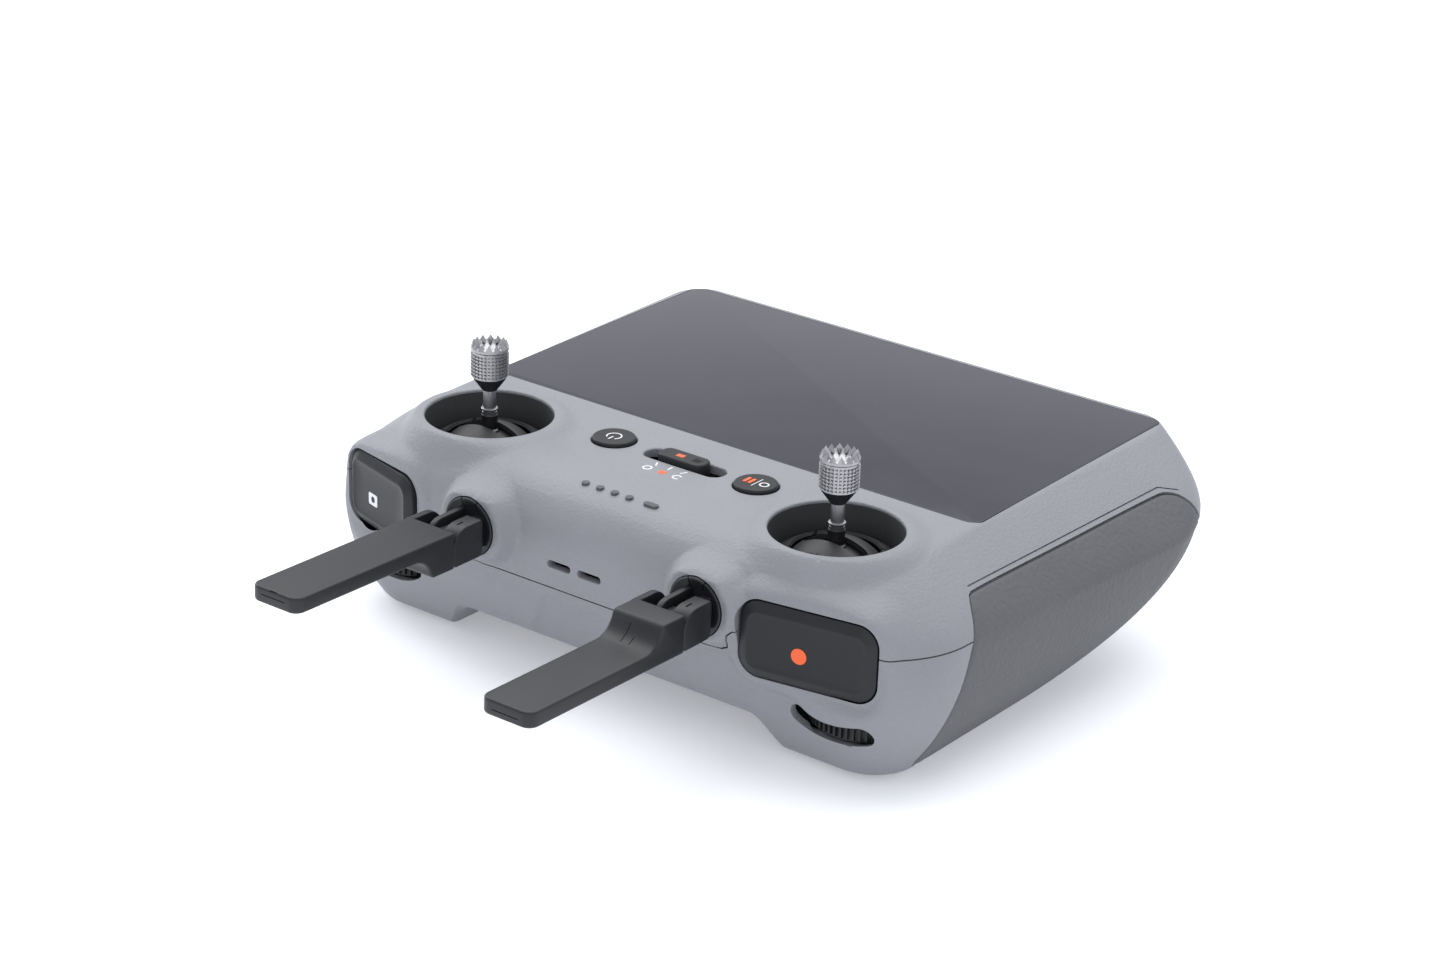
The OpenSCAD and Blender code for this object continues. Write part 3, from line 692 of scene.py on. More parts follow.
# ---- soft forms on the skin --------------------------------------------------------------
STICK_X, STICK_Y, _ = middle_mm("right_well_liner")
WELL_R = 13.9
LIP_Z = TOP + 1.5
hub_low, hub_high = box_mm("right_antenna_hub")
HUB_X = middle_mm("right_antenna_pin")[0]
HUB_Z = (hub_low.z + hub_high.z) / 2
HUB_R = (hub_high.z - hub_low.z) / 2
SHOULDER_Z = 28.5
SHOULDER = {RIGHT: ((53.6, -78.4), 9.0, 30.2), LEFT: ((-59.6, -77.6), -16.0, 24.8)}   # place, turn and width
SHOULDER_H, SHOULDER_CORNER = 16.4, 4.4
RIM = {RIGHT: (0.9, 0.0), LEFT: (0.8, -0.06)}      # depth of the opening's rim in the middle, and its slope


def ease(value, start, end):
    """Rises smoothly from 0 at start to 1 at end."""
    t = np.clip((value - start) / (end - start), 0, 1)
    return t * t * (3 - 2 * t)


def shoulder_frame(side):
    """The place of a shoulder button: its face looks along drawn Z."""
    (x, y), turn, _ = SHOULDER[side]
    return slide_to(x, y, SHOULDER_Z, turn) @ FACING_FRONT


def swell(p):
    """Raises the rims round the sticks and the collars round the hubs, and softens the openings."""
    p = p.copy()
    beyond = np.abs(p[:, 0])
    around = np.hypot(beyond - STICK_X, p[:, 1] - STICK_Y)
    lift = 1 - ease(around, WELL_R + 1.1, WELL_R + 5.6)
    lift *= ease(p[:, 2], 39, 43.5)
    p[:, 2] += (LIP_Z - p[:, 2]) * lift
    # a shallow scoop above the inner end of each wheel slot
    dip = 1.0 * np.exp(-((beyond - 48) / 4.5) ** 2 - ((p[:, 2] - 16.5) / 3.2) ** 2)
    p[:, 1] += dip * (1 - ease(p[:, 1], -74, -66))
    for side in (LEFT, RIGHT):
        local = placed(p, shoulder_frame(side).inverted())
        width = SHOULDER[side][2]
        q = np.abs(local[:, :2]) - (width / 2 - SHOULDER_CORNER, SHOULDER_H / 2 - SHOULDER_CORNER)
        away = np.hypot(*np.maximum(q, 0).T) + np.minimum(q.max(1), 0) - SHOULDER_CORNER
        rim = RIM[side][0] + RIM[side][1] * local[:, 0]
        near = (1 - ease(away, 0.5, 4.6)) * (1 - ease(np.abs(local[:, 2] - rim), 6, 11))
        normal = np.array(shoulder_frame(side))[:3, 2]
        p += ((rim - local[:, 2]) * near)[:, None] * normal
    # a collar round each hub, less above and below it
    around = np.hypot(beyond - HUB_X, p[:, 2] - HUB_Z)
    push = (1 - ease(around, HUB_R + 1.1, HUB_R + 4.4)) * (1 - ease(p[:, 1], -79, -70))
    push *= 1 - 0.8 * ease(HUB_Z - p[:, 2], HUB_R - 0.5, HUB_R + 3.5)
    push *= 1 - 0.8 * ease(p[:, 2] - HUB_Z, HUB_R - 0.2, HUB_R + 3.2)
    p[:, 1] += (FACE_Y + 0.5 - p[:, 1]) * push
    # a shallow panel low down on the front
    away = np.maximum(np.abs(p[:, 0] - 3) - 19 + 0.5 * (p[:, 2] - 14), np.abs(p[:, 2] - 14.5) - 5.2)
    p[:, 1] += 0.55 * (1 - ease(away, -0.4, 0.8)) * (1 - ease(p[:, 1], -70, -60))
    return p


def refine(work, corner_a, corner_b, pitch):
    """Splits the faces inside a box along planes a pitch apart."""
    a, b = np.array(corner_a), np.array(corner_b)

    def reaches_in(face):
        return all(min(v.co[k] for v in face.verts) < b[k] and max(v.co[k] for v in face.verts) > a[k]
                   for k in range(3))

    inside = [f for f in work.faces if reaches_in(f)]
    edges, points = {e for f in inside for e in f.edges}, {v for f in inside for v in f.verts}
    geometry = inside + list(edges) + list(points)
    for axis in range(3):
        if not pitch[axis]:
            continue
        normal = [0, 0, 0]
        normal[axis] = 1
        for value in np.arange(a[axis], b[axis], pitch[axis]):
            place = [0, 0, 0]
            place[axis] = value
            split = bmesh.ops.bisect_plane(work, geom=geometry, dist=1e-4, plane_co=place, plane_no=normal)
            geometry = split["geom"]


def body_solid(name, inset, detailed):
    """The whole body as one solid; the detailed one has the soft forms that the shells show."""
    rows = body_rows(inset) if detailed else body_rows(inset, 26, 5)
    piece = loft(name, rows)
    if not detailed:
        return piece
    work = bmesh.new()
    work.from_mesh(piece.data)
    bmesh.ops.scale(work, vec=(1 / MM,) * 3, verts=work.verts)
    bmesh.ops.translate(work, vec=(0, -GLASS_Y, 0), verts=work.verts)
    reach = WELL_R + 9.5
    for side in (LEFT, RIGHT):
        refine(work, (side * STICK_X - reach, STICK_Y - reach, 38),
               (side * STICK_X + reach, STICK_Y + reach, TOP + 1), (1.3, 1.3, 0))
        refine(work, (side * HUB_X - 16, -90, HUB_Z - 16), (side * HUB_X + 16, -70, HUB_Z + 12),
               (0.9, 0, 0.9))
        (x, _), _, width = SHOULDER[side]
        reach_x = width / 2 + 4.5
        refine(work, (x - reach_x, -90, SHOULDER_Z - 12), (x + reach_x, -62, SHOULDER_Z + 13), (0.7, 0, 0.7))
    refine(work, (-24, -90, 7), (28, -70, 21.5), (0.8, 0, 0.8))
    points = swell(np.array([v.co for v in work.verts]))
    for vertex, place in zip(work.verts, points):
        vertex.co = place
    bmesh.ops.translate(work, vec=(0, GLASS_Y, 0), verts=work.verts)
    bmesh.ops.scale(work, vec=(MM,) * 3, verts=work.verts)
    bmesh.ops.triangulate(work, faces=[f for f in work.faces if len(f.verts) > 4])
    work.to_mesh(piece.data)
    work.free()
    return piece


def hollow_solid(name, grow):
    """The hollow between the grips, with a rolled lip at the antenna end."""
    def section(y, wider):
        g = grow + wider
        right = [(50.5 + g, -6), (46.4 + g, 0)] + arc((37.2, 1.2 + g), 6.2, 34, 90, 9) + [(20, 7.4 + g)]
        left = [(-x, z) for x, z in right[::-1]]
        return [(x, y, z) for x, z in right + left]
    rows = [section(-95, 4.6)]
    rows += [section(-77.2 + 5.2 * (1 - math.cos(t)), 3.6 * (1 - math.sin(t)))
             for t in np.linspace(0, math.pi / 2, 8)]
    rows += [section(y, 0) for y in (-60, -20, 20, 60)]
    return loft(name, rows)


SEAM_Z, SEAM_PAD_Z = 30.8, 38.5       # height of the seam along the sides, and where it runs above the pads


def seam_solid(drop):
    """Everything above the line where the two shells meet; drop lowers that line."""
    line = SEAM_Z - drop
    over_pad = SEAM_PAD_Z - drop
    rise = [(-57.6 - drop, line), (-55.0 - drop, 34.0 - drop), (-51.2 - drop, over_pad)]
    fall = [(17.5 + drop, over_pad), (22.5 + drop, 37.0 - drop), (26.0 + drop, 33.0 - drop),
            (28.6 + drop, line)]
    side = [(-120, line)] + rise + fall + [(70, line), (70, 70), (-120, 70)]
    whole = slab("seam", side, -100, 100, ALONG_X)
    # at the front the line dips round the hubs
    bay = [(42.0, 28.7), (40.1, 28.9), (38.2, 29.4), (37.1, 28.5), (36.4, 26.2), (35.3, 24.3), (33.5, 23.3),
           (29, 23.0)]
    right = [(68, 31), (68, 28.7 - drop)] + [(x + drop * (0.8 if x < 38 else 0), z - drop) for x, z in bay]
    middle = slab("seam", right + [(-x, z) for x, z in right[::-1]], -120, -70, ALONG_Y)
    return carve(whole, middle, operation="UNION")


# ---- grip pads ---------------------------------------------------------------------------
def side_x(y, z):
    """Half width of the body at a place on its side."""
    f, b, fr, rr = front(z), rear(z), front_r(z), rear_r(z)
    fx, rx = front_half(z), rear_half(z)
    t = np.clip((y - f - fr) / (b - rr - f - fr), 0, 1)
    x = fx + (rx - fx) * t
    x = np.where(y < f + fr, fx - fr + np.sqrt(np.maximum(fr ** 2 - (y - f - fr) ** 2, 0)), x)
    return np.where(y > b - rr, rx - rr + np.sqrt(np.maximum(rr ** 2 - (y - b + rr) ** 2, 0)), x)


PAD_EDGE = ((-49.0, 37.4), (-52.6, 36.7), (-55.6, 33.4), (-58.8, 29), (-61.5, 23), (-64.2, 15.5),
            (-65.4, 9.5), (-65.6, 4.6), (-62, 2.2), (-50, 1.9), (-30, 1.9), (-16, 2.4), (-4, 4.4), (5, 8.0),
            (12.5, 13.4), (18.5, 20), (22.5, 26.5), (24, 31.5), (22.6, 35.2), (19, 37.0), (12, 37.4),
            (-20, 37.4))                            # Y and Z of the pad's edge, seen from the side
PAD_MIDDLE = (-18.0, 21.0)
PAD_REACH = 30                                      # roughly from the pad's middle to its edge
PAD_ROUND = 0.8                                     # width of the pad's rounded edge


def bend(a, b, c, d, t):
    """A smooth (Catmull-Rom) stretch from b to c, of a curve that also passes a and d."""
    square, cube = 2 * a - 5 * b + 4 * c - d, 3 * b - a - 3 * c + d
    return 0.5 * (2 * b + (c - a) * t + square * t ** 2 + cube * t ** 3)


def evenly(dense, steps, closed):
    """Points at even distances along a line of many points."""
    run = np.concatenate([[0], np.cumsum(np.hypot(*np.diff(dense, axis=0).T))])
    even = np.linspace(0, run[-1], steps, endpoint=not closed)
    return np.stack([np.interp(even, run, dense[:, k]) for k in (0, 1)], 1)


def smooth_loop(points, steps):
    """A closed curve through points."""
    p = np.array(points, float)
    t = np.linspace(0, 1, 12, endpoint=False)[:, None]
    pieces = [bend(*(p[(i + k) % len(p)] for k in (-1, 0, 1, 2)), t) for i in range(len(p))]
    return evenly(np.concatenate(pieces + [pieces[0][:1]]), steps, True)


def smooth_path(points, steps):
    """An open curve through points."""
    p = np.array([points[0]] + list(points) + [points[-1]], float)
    t = np.linspace(0, 1, 16)[:, None]
    pieces = [bend(*four, t) for four in zip(p[:-3], p[1:-2], p[2:-1], p[3:])]
    return evenly(np.concatenate(pieces), steps, False)


def pad_solid(name, side, grow, out, inward, soft_edge=0.0):
    """A patch of the grip's side between two depths; grow widens it and soft_edge rounds its edge."""
    rim = smooth_loop(PAD_EDGE, 180)
    tangent = np.roll(rim, -1, 0) - np.roll(rim, 1, 0)
    outward = np.stack([tangent[:, 1], -tangent[:, 0]], 1) / np.hypot(*tangent.T)[:, None]
    middle = np.array(PAD_MIDDLE)
    if ((rim - middle) * outward).sum() < 0:
        outward = -outward
    # rings from the pad's middle outwards, closer together near its edge
    near_edge = 1 - 0.012 * (0.5 ** np.arange(5))
    shares = np.concatenate([np.linspace(0.04, 0.9, 26), np.linspace(0.92, 0.985, 5), near_edge, [1]])

    def layer(share, depth):
        flat = middle + (rim + outward * grow - middle) * share
        y, z = flat.T
        x = side_x(y, z)
        dy = (side_x(y + 0.02, z) - side_x(y - 0.02, z)) / 0.04
        dz = (side_x(y, z + 0.02) - side_x(y, z - 0.02)) / 0.04
        normal = np.stack([np.ones_like(x), -dy, -dz], 1)
        normal /= np.linalg.norm(normal, axis=1)[:, None]
        return (np.stack([x, y, z], 1) + normal * depth) * (side, 1, 1)

    def crown(share):
        away = (1 - share) * PAD_REACH
        return -soft_edge * (1 - math.sqrt(1 - (1 - min(away / PAD_ROUND, 1)) ** 2))

    rows = [layer(s, inward) for s in shares[:-6:3]] + [layer(1, inward)]
    rows += [layer(s, out + crown(s)) for s in shares[::-1]]
    return loft(name, rows)


# ---- the two shells ----------------------------------------------------------------------
SHOULDER_GAP, SEAM_GAP = 0.36, 0.3
LAMP_Y, LAMP_X, LAMP_PITCH = -72.1, -8.8, 3.85      # the first lamp, and the step to the next
BUTTON_X, BUTTON_Y, _ = middle_mm("pause_button")
BUTTON_R = 4.7
BACK_X, BACK_Y, _ = middle_mm("right_back_button")
ROOF_Z = 7.2                                        # roof of the hollow between the grips
TROUGH_X, TROUGH_Y, _ = middle_mm("right_stick_stay")
SCREW_SPOTS = ((33, -66), (33, 14), (58, -38))
VENT_Y = 2


def shoulder_outline(side):
    return round_box(SHOULDER[side][2], SHOULDER_H, SHOULDER_CORNER, 12)


def shoulder_cutter(side):
    levels = [(SHOULDER_GAP, -FAR), (SHOULDER_GAP, 12)]
    return stack("opening", shoulder_outline(side), levels, shoulder_frame(side))


def wheel_path(grow):
    """Outline of a wheel's slot, which bends down from its inner end."""
    middle_line = [(51.2, 13.6), (53.0, 12.6), (56.0, 11.7), (59.5, 11.6), (63.0, 12.1), (66.6, 13.0)]
    spine = smooth_path(middle_line, 24)
    tangent = np.gradient(spine, axis=0)
    across = np.stack([-tangent[:, 1], tangent[:, 0]], 1) / np.hypot(*tangent.T)[:, None]
    half = np.interp(np.arange(24), [0, 6, 23], [1.9, 2.0, 2.1])[:, None] + grow
    upper, lower = spine + across * half, spine - across * half
    start, end = (math.degrees(math.atan2(y, x)) for x, y in (across[0], across[-1]))
    cap_a = arc(spine[0], half[0][0], start, start + 180, 8)[1:-1]
    cap_b = arc(spine[-1], half[-1][0], end + 180, end + 360, 8)[1:-1]
    return list(map(tuple, upper[::-1])) + cap_a + list(map(tuple, lower)) + cap_b


def wheel_cutter(side):
    """The slot narrows slightly from the mouth inwards."""
    rows = [[(side * x, y, z) for x, z in wheel_path(grow)] for y, grow in
            ((-90, 0.5), (-78.6, 0.3), (-77.9, 0.1), (-77.2, 0), (-66, 0))]
    return loft("slot", rows)


def top_cutters():
    below = 35                                      # where the cutters of the small openings start
    cutters = [stack("bed", round_box(GLASS_W + 0.25, GLASS_L + 0.25, 3.0), [(0, TOP - 1.2), (0, TOP + 4)]),
               stack("window", round_box(118, 64.5, 2), [(0, 30), (0, TOP + 3)])]
    socket = [(0, -12), (HUB_R + 0.2, -12), (HUB_R + 0.2, 0.2), (HUB_R + 0.5, 0.55), (HUB_R + 0.9, 4), (0, 4)]
    for side in (LEFT, RIGHT):
        cutters.append(round_cutter("well", WELL_R, 30, LIP_Z, 0.45,
                                    slide_to(side * STICK_X, STICK_Y, 0), 128))
        cutters.append(round_cutter("hole", BUTTON_R + 0.25, below, TOP, 0.3,
                                    slide_to(side * BUTTON_X, BUTTON_Y, 0), 72))
        cutters.append(turned("socket", socket, on_front(side * HUB_X, FACE_Y + 0.35, HUB_Z), 96))
        cutters.append(shoulder_cutter(side))
    track = [(0, below), (0, TOP - 0.3), (0.1, TOP - 0.12), (0.3, TOP), (0.3, TOP + 5)]
    cutters.append(stack("track", round_box(20.4, 5.5, 2.5), track, slide_to(0.3, BUTTON_Y, 0)))
    for i in range(4):
        cutters.append(round_cutter("lamp", 0.86, below, TOP, 0.1,
                                    slide_to(LAMP_X + LAMP_PITCH * i, LAMP_Y, 0), 32, 3))
    long_lamp = [(0, below), (0, TOP - 0.1), (0.1, TOP), (0.1, TOP + 5)]
    cutters.append(stack("lamp", round_box(3.55, 1.55, 0.74), long_lamp, slide_to(8.4, LAMP_Y, 0)))
    sound_slit = [(0, 60), (0, 80.4), (0.1, 80.7), (0.4, 81), (0.4, 90)]
    for x in (-8.6, -0.6):
        cutters.append(stack("sound", round_box(6, 1.5, 0.7), sound_slit, on_front(x, 0, 28.4)))
    return cutters


def rear_cutters():
    levels = [(0, -28), (0, -38.3), (0.4, -38.75), (0.4, -48)]
    cutters = []
    for node, width, height, radius in (("usb_socket", 9.3, 3.6, 1.75), ("card_socket", 13, 2.4, 1)):
        x, _, z = middle_mm(node)
        cutters.append(stack("port", round_box(width, height, radius), levels, on_front(x, 0, z)))
    return cutters


def lying(x, y, z):
    """A place for something drawn upright that lies along Y."""
    return Matrix.Translation((x, y, z)) @ Matrix.Rotation(-math.pi / 2, 4, "X")


def bottom_cutters():
    mouth = [(0, 30), (5.15, 30), (5.15, ROOF_Z + 0.5), (5.45, ROOF_Z + 0.1), (5.9, ROOF_Z - 0.05),
             (5.9, -5), (0, -5)]
    trough = [(0, -12), (4.6, -12), (5, -11.6), (5, 11.6), (4.6, 12), (0, 12)]
    cutters = []
    for side in (LEFT, RIGHT):
        cutters.append(shoulder_cutter(side))
        cutters.append(wheel_cutter(side))
        cutters.append(rod("wheel_room", 13.35, 9.8, 15.4, slide_to(side * 59.5, -64.2, 0), 96))
        cutters.append(turned("hole", mouth, slide_to(side * BACK_X, BACK_Y, 0), 64))
        cutters.append(turned("trough", trough, lying(side * TROUGH_X, TROUGH_Y, ROOF_Z), 64))
        cutters.append(stack("stay_gap", round_box(7.2, 7.2, 0.6), [(0, 2), (0, 22)],
                             slide_to(side * TROUGH_X, TROUGH_Y, 0)))
        for x, y in SCREW_SPOTS:
            cutters.append(rod("screw_hole", 1.6, -6, 26, slide_to(side * x, y, 0), 32))
    for i in range(-4, 5):
        cutters.append(stack("air_slot", round_box(1.6, 14, 0.75), [(0, -1), (0, 14)],
                             slide_to(i * 5, VENT_Y, 0)))
    return cutters


def make_shells():
    skin_piece = body_solid("bottom_shell_form", 0, True)
    skin = skin_of(skin_piece)
    inner = body_solid("inside", WALL, False)
    carve(inner, hollow_solid("roof", WALL))
    whole = carve(skin_piece, inner)
    pockets = [pad_solid("pocket", side, 0.32, 3.0, -PAD_T - 0.05) for side in (LEFT, RIGHT)]
    backing = [pad_solid("backing", side, 1.2, -PAD_T + 0.1, -PAD_T - WALL) for side in (LEFT, RIGHT)]
    carve(whole, *backing, operation="UNION")
    carve(whole, *pockets)
    walls = [block("trough_walls", (side * TROUGH_X - 7, TROUGH_Y - 14, 6.2),
                   (side * TROUGH_X + 7, TROUGH_Y + 14, 14.4), radius=1.0) for side in (LEFT, RIGHT)]
    carve(whole, *walls, operation="UNION")
    carve(whole, hollow_solid("hollow", 0))
    upper = copy_of(whole)
    carve(upper, seam_solid(0), operation="INTERSECT")
    upper.name = "shell_top"
    carve(upper, *top_cutters(), *rear_cutters())
    carve(whole, seam_solid(SEAM_GAP))
    whole.name = "shell_bottom"
    carve(whole, *bottom_cutters(), *rear_cutters())
    for side in (LEFT, RIGHT):
        carve(whole, rod("hub_room", HUB_R + 0.35, -12, 4, on_front(side * HUB_X, FACE_Y, HUB_Z), 48))
    for piece, node in ((upper, "top_shell"), (whole, "bottom_shell")):
        smooth(piece, 28, skin)
        dress(piece, shell_plastic, "body", "shell_plastic", node)
    for side in (LEFT, RIGHT):
        name = SIDE_NAME[side]
        pad = smooth(pad_solid("pad_" + name, side, 0.0, 0.0, -PAD_T, 0.45), 40)
        dress(pad, pad_rubber, "body", "grip_rubber", name + "_grip_pad")


# ---- glass, lamps and top controls ------------------------------------------------------
def make_glass():
    outline = round_box(GLASS_W, GLASS_L, 2.9, 14)
    pane = stack("glass_pane", outline, edge_levels(TOP - 1.1, TOP, 0.18))
    dress(smooth(pane), glass_black, "body", "cover_glass", "screen_glass")


def flat_mark(name, outlines, z, at=None, thick=0.06):
    """Printed marks as thin plates with their top at z."""
    return joined(name, *[slab("plate", outline, z - thick, z, at) for outline in outlines])


def bar(x, y, width, height, turn=0):
    """Outline of a small bar, perhaps turned in degrees."""
    c, s = math.cos(math.radians(turn)), math.sin(math.radians(turn))
    corners = ((-1, -1), (1, -1), (1, 1), (-1, 1))
    return [(x + c * a * width / 2 - s * b * height / 2, y + s * a * width / 2 + c * b * height / 2)
            for a, b in corners]


def bow(x, y, radius, width, start, end, steps=28):
    """Outline of a curved bar."""
    half = width / 2
    return arc((x, y), radius + half, start, end, steps) + arc((x, y), radius - half, end, start, steps)


def make_top_buttons():
    for side, name in ((LEFT, "power_button"), (RIGHT, "pause_button")):
        lo, hi = box_mm(name)
        at = slide_to(side * BUTTON_X, BUTTON_Y, 0)
        flange_r, edge_r = BUTTON_R + 0.9, 0.55
        profile = [(0, lo.z), (1.5, lo.z), (1.5, 41.6), (flange_r, 41.6), (flange_r, 42.5), (BUTTON_R, 42.6)]
        profile += arc((BUTTON_R - edge_r, hi.z - edge_r), edge_r, 0, 78, 6)
        profile += [(3.8, hi.z - 0.03), (2.5, hi.z - 0.1), (0, hi.z - 0.12)]
        cap = turned(name + "_cap", profile, at, 96)
        dress(smooth(cap), button_black, name, "button_black", name)
        z = hi.z - 0.02
        if side == LEFT:
            marks = flat_mark("power_mark", [bow(0, 0, 1.6, 0.3, -50, 230), bar(0, -1.2, 0.3, 1.7)], z, at)
            dress(smooth(marks), mark_white, name, "button_black")
        else:
            bars = flat_mark("pause_mark", [bar(-2.3, 0, 0.75, 2.5), bar(-1.05, 0, 0.75, 2.5)], z, at)
            dress(smooth(bars), mark_orange, name, "button_black")
            ring = flat_mark("return_mark", [bar(0.25, 0, 0.2, 4.2), bow(2.1, 0, 0.95, 0.34, 0, 359)], z, at)
            dress(smooth(ring), mark_white, name, "button_black")


def make_switch():
    at = slide_to(0, BUTTON_Y, 0)
    crest = box_mm("mode_switch")[1].z + 0.85
    levels = [(0, 41.8)] + arc((-0.5, crest - 0.6), 0.5, 0, 80, 5)
    levels += [(-1.2, crest - 0.1), (-1.9, crest - 0.22)]
    cap = stack("switch_cap", round_box(12, 4.9, 1.9, 6), levels, at)
    base = stack("switch_base", round_box(13, 9, 2), [(0, 41.2), (0, 42.4)], at)
    post = block("switch_post", (-1, BUTTON_Y - 1, 38.2), (1, BUTTON_Y + 1, 42.3), radius=0.2)
    carve(cap, base, post, operation="UNION")
    dress(smooth(cap), button_black, "mode_switch", "button_black", "mode_switch")
    ribs = [block("rib", (x, BUTTON_Y - 1.5, crest - 0.4), (x + 0.3, BUTTON_Y + 1.5, crest - 0.1), radius=0.1)
            for x in (2.4 + 0.62 * i for i in range(5))]
    dress(smooth(joined("switch_ribs", *ribs)), button_black, "mode_switch", "button_black")
    square = flat_mark("switch_mark", [bar(-0.9, 0, 1.9, 1.3)], crest - 0.18, at)
    dress(smooth(square), mark_orange, "mode_switch", "button_black")


def make_deck_marks():
    """Plain marks for the three places of the switch: a row of ticks and a row of signs."""
    z = TOP + 0.03
    tick_y, dot_y = -55.2, -57.9
    white = [bar(x, tick_y, 0.35, 1.7, turn) for x, turn in ((-3.6, 28), (3.6, -28), (0, 0))]
    white += [bow(-3.9, dot_y, 0.9, 0.38, 0, 359), bow(3.9, dot_y, 0.9, 0.38, 40, 320)]
    dress(smooth(flat_mark("mode_marks", white, z)), mark_white, "body", "shell_plastic")
    orange = flat_mark("mode_mark_middle", [bar(0, dot_y, 1.7, 1.5)], z)
    dress(smooth(orange), mark_orange, "body", "shell_plastic")


# ---- shoulder buttons and wheels --------------------------------------------------------
def record_mark(at):
    return flat_mark("record_mark", [arc((-1.5, -1.2), 1.7, 0, 351, 40)], 1.76, at), mark_orange


def shutter_mark(at):
    at = at @ slide_to(-2.4, -1.2, 0)
    plate = stack("shutter_mark", round_box(3.4, 2.7, 0.35, 4), [(0, 1.66), (0, 1.77)], at)
    return carve(plate, rod("lens", 0.75, 0, 3, at, 32)), mark_white


def make_shoulder_buttons():
    """Each cap has a flange behind the shell, a sloping border, a low ridge and a slightly dished face."""
    for side, name, flange, make_mark in ((RIGHT, "record_button", -1.0, record_mark),
                                          (LEFT, "shutter_button", -1.8, shutter_mark)):
        at = shoulder_frame(side)
        levels = [(0.9, flange - 1), (0.9, flange - 0.25), (0, flange - 0.2)]
        levels += arc((-0.35, 0.75), 0.35, 0, 60, 5)
        levels += [(-1.75, 1.88), (-1.95, 1.97), (-2.15, 1.98), (-2.4, 1.9), (-3.4, 1.72), (-6.2, 1.66)]
        cap = stack(name + "_cap", shoulder_outline(side), levels, at)
        dress(smooth(cap, 50), button_black, name, "button_black", name)
        mark, colour = make_mark(at)
        dress(smooth(mark), colour, name, "button_black")


def make_wheels():
    for side in (LEFT, RIGHT):
        name = SIDE_NAME[side] + "_wheel"
        lo, hi = box_mm(name)
        x, y, z = middle_mm(name)
        core, half, bore = (hi.x - lo.x) / 2 - 0.75, (hi.z - lo.z) / 2, 2.05
        side_view = [(core - 0.4, -half), (core, -half + 0.4), (core, half - 0.4), (core - 0.4, half)]
        disc = turned(name + "_disc", [(bore, -half)] + side_view + [(bore, half)], slide_to(x, y, z), 120)
        dress(smooth(disc), button_black, name, "wheel_black", name)
        ribs = stud(name + "_ribs", 1.5, 0.72, 2 * half - 0.7, 0.7)
        STUD_ROWS.grow(ribs, Count=60, Rows=1, Radius=core * MM, Start=0.0, Pitch=0.001, Finish=button_black)
        dress(moved(ribs, x, y, z), button_black, name, "wheel_black")


def make_back_buttons():
    for side in (LEFT, RIGHT):
        name = SIDE_NAME[side] + "_back_button"
        lo, hi = box_mm(name)
        face = [(0, 0.25), (2.6, 0.2), (3.9, 0.02), (4.5, 0.05), (4.9, 0.45), (4.9, 3)]
        flange = [(5.8, 3.1), (5.8, 4.1), (2, 4.2)]
        profile = [(r, lo.z + z) for r, z in face + flange] + [(2, hi.z), (0, hi.z)]
        cap = turned(name + "_cap", profile, slide_to(side * BACK_X, BACK_Y, 0), 72)
        dress(smooth(cap), button_black, name, "button_black", name)


# ---- sticks and gimbals -----------------------------------------------------------------
KNURL_R, HEAD_Z = 3.72, 54.6                       # radius under the knurling, and the lower end of the head


def make_sticks():
    for side in (LEFT, RIGHT):
        stick = SIDE_NAME[side] + "_stick"
        at = slide_to(side * STICK_X, STICK_Y, 0)
        crown = box_mm(stick)[1].z - 1.95
        collar = [(1.4, 46.8), (1.4, 47.1), (1.75, 47.15), (1.8, 47.25), (1.8, 47.5), (1.7, 47.6),
                  (1.4, 47.65)]
        shaft = [(0, 45.9), (1.6, 45.9), (1.6, 46.7)] + collar + [(1.4, 52.2), (0, 52.2)]
        neck = smooth(turned(stick + "_neck", shaft, at, 64), 35)
        dress(neck, aluminium, stick, "stick_aluminium", stick)
        cone = [(0, 51.7), (1.6, 51.7), (1.75, 51.9), (3.5, 54.3), (3.7, 54.75), (0, 54.75)]
        dress(smooth(turned(stick + "_cone", cone, at, 72), 35), antenna_black, stick, "stick_aluminium")
        foot = [(0, HEAD_Z), (3.4, HEAD_Z), (3.75, HEAD_Z + 0.25), (KNURL_R, HEAD_Z + 0.5),
                (KNURL_R, crown - 0.95)]
        rim = [(3.95, -0.85), (4.12, -0.6), (4.05, 0.05), (3.6, 0.3), (2.9, -0.5), (1.6, -1.3), (0, -1.4)]
        head = turned(stick + "_head", foot + [(r, crown + z) for r, z in rim], at, 96)
        dress(smooth(head, 35), aluminium, stick, "stick_aluminium")
        knurl = stud(stick + "_knurl", 0.8, 0.66, 0.56, 0.6)
        STUD_ROWS.grow(knurl, Count=28, Rows=7, Radius=KNURL_R * MM, Start=(HEAD_Z + 0.75) * MM,
                       Pitch=0.76 * MM, Finish=aluminium)
        dress(moved(knurl, side * STICK_X, STICK_Y, 0), aluminium, stick, "stick_aluminium")
        teeth = crown_tooth(stick + "_teeth")
        STUD_ROWS.grow(teeth, Count=14, Rows=1, Radius=3.35 * MM, Start=(crown - 0.05) * MM, Pitch=0.001,
                       Finish=aluminium)
        dress(moved(teeth, side * STICK_X, STICK_Y, 0), aluminium, stick, "stick_aluminium")


def crown_tooth(name):
    """A pointed tooth about the origin: broad outside, a ridge to its point."""
    points = [(-1.2, 0, -0.25), (0.68, -0.84, 0), (0.68, 0.84, 0), (0.2, 0, 1.4), (0.85, 0, -0.1)]
    faces = [(0, 1, 3), (0, 3, 2), (1, 4, 3), (4, 2, 3), (0, 2, 4), (0, 4, 1)]
    return solid(name, (np.array(points) * MM).tolist(), faces)


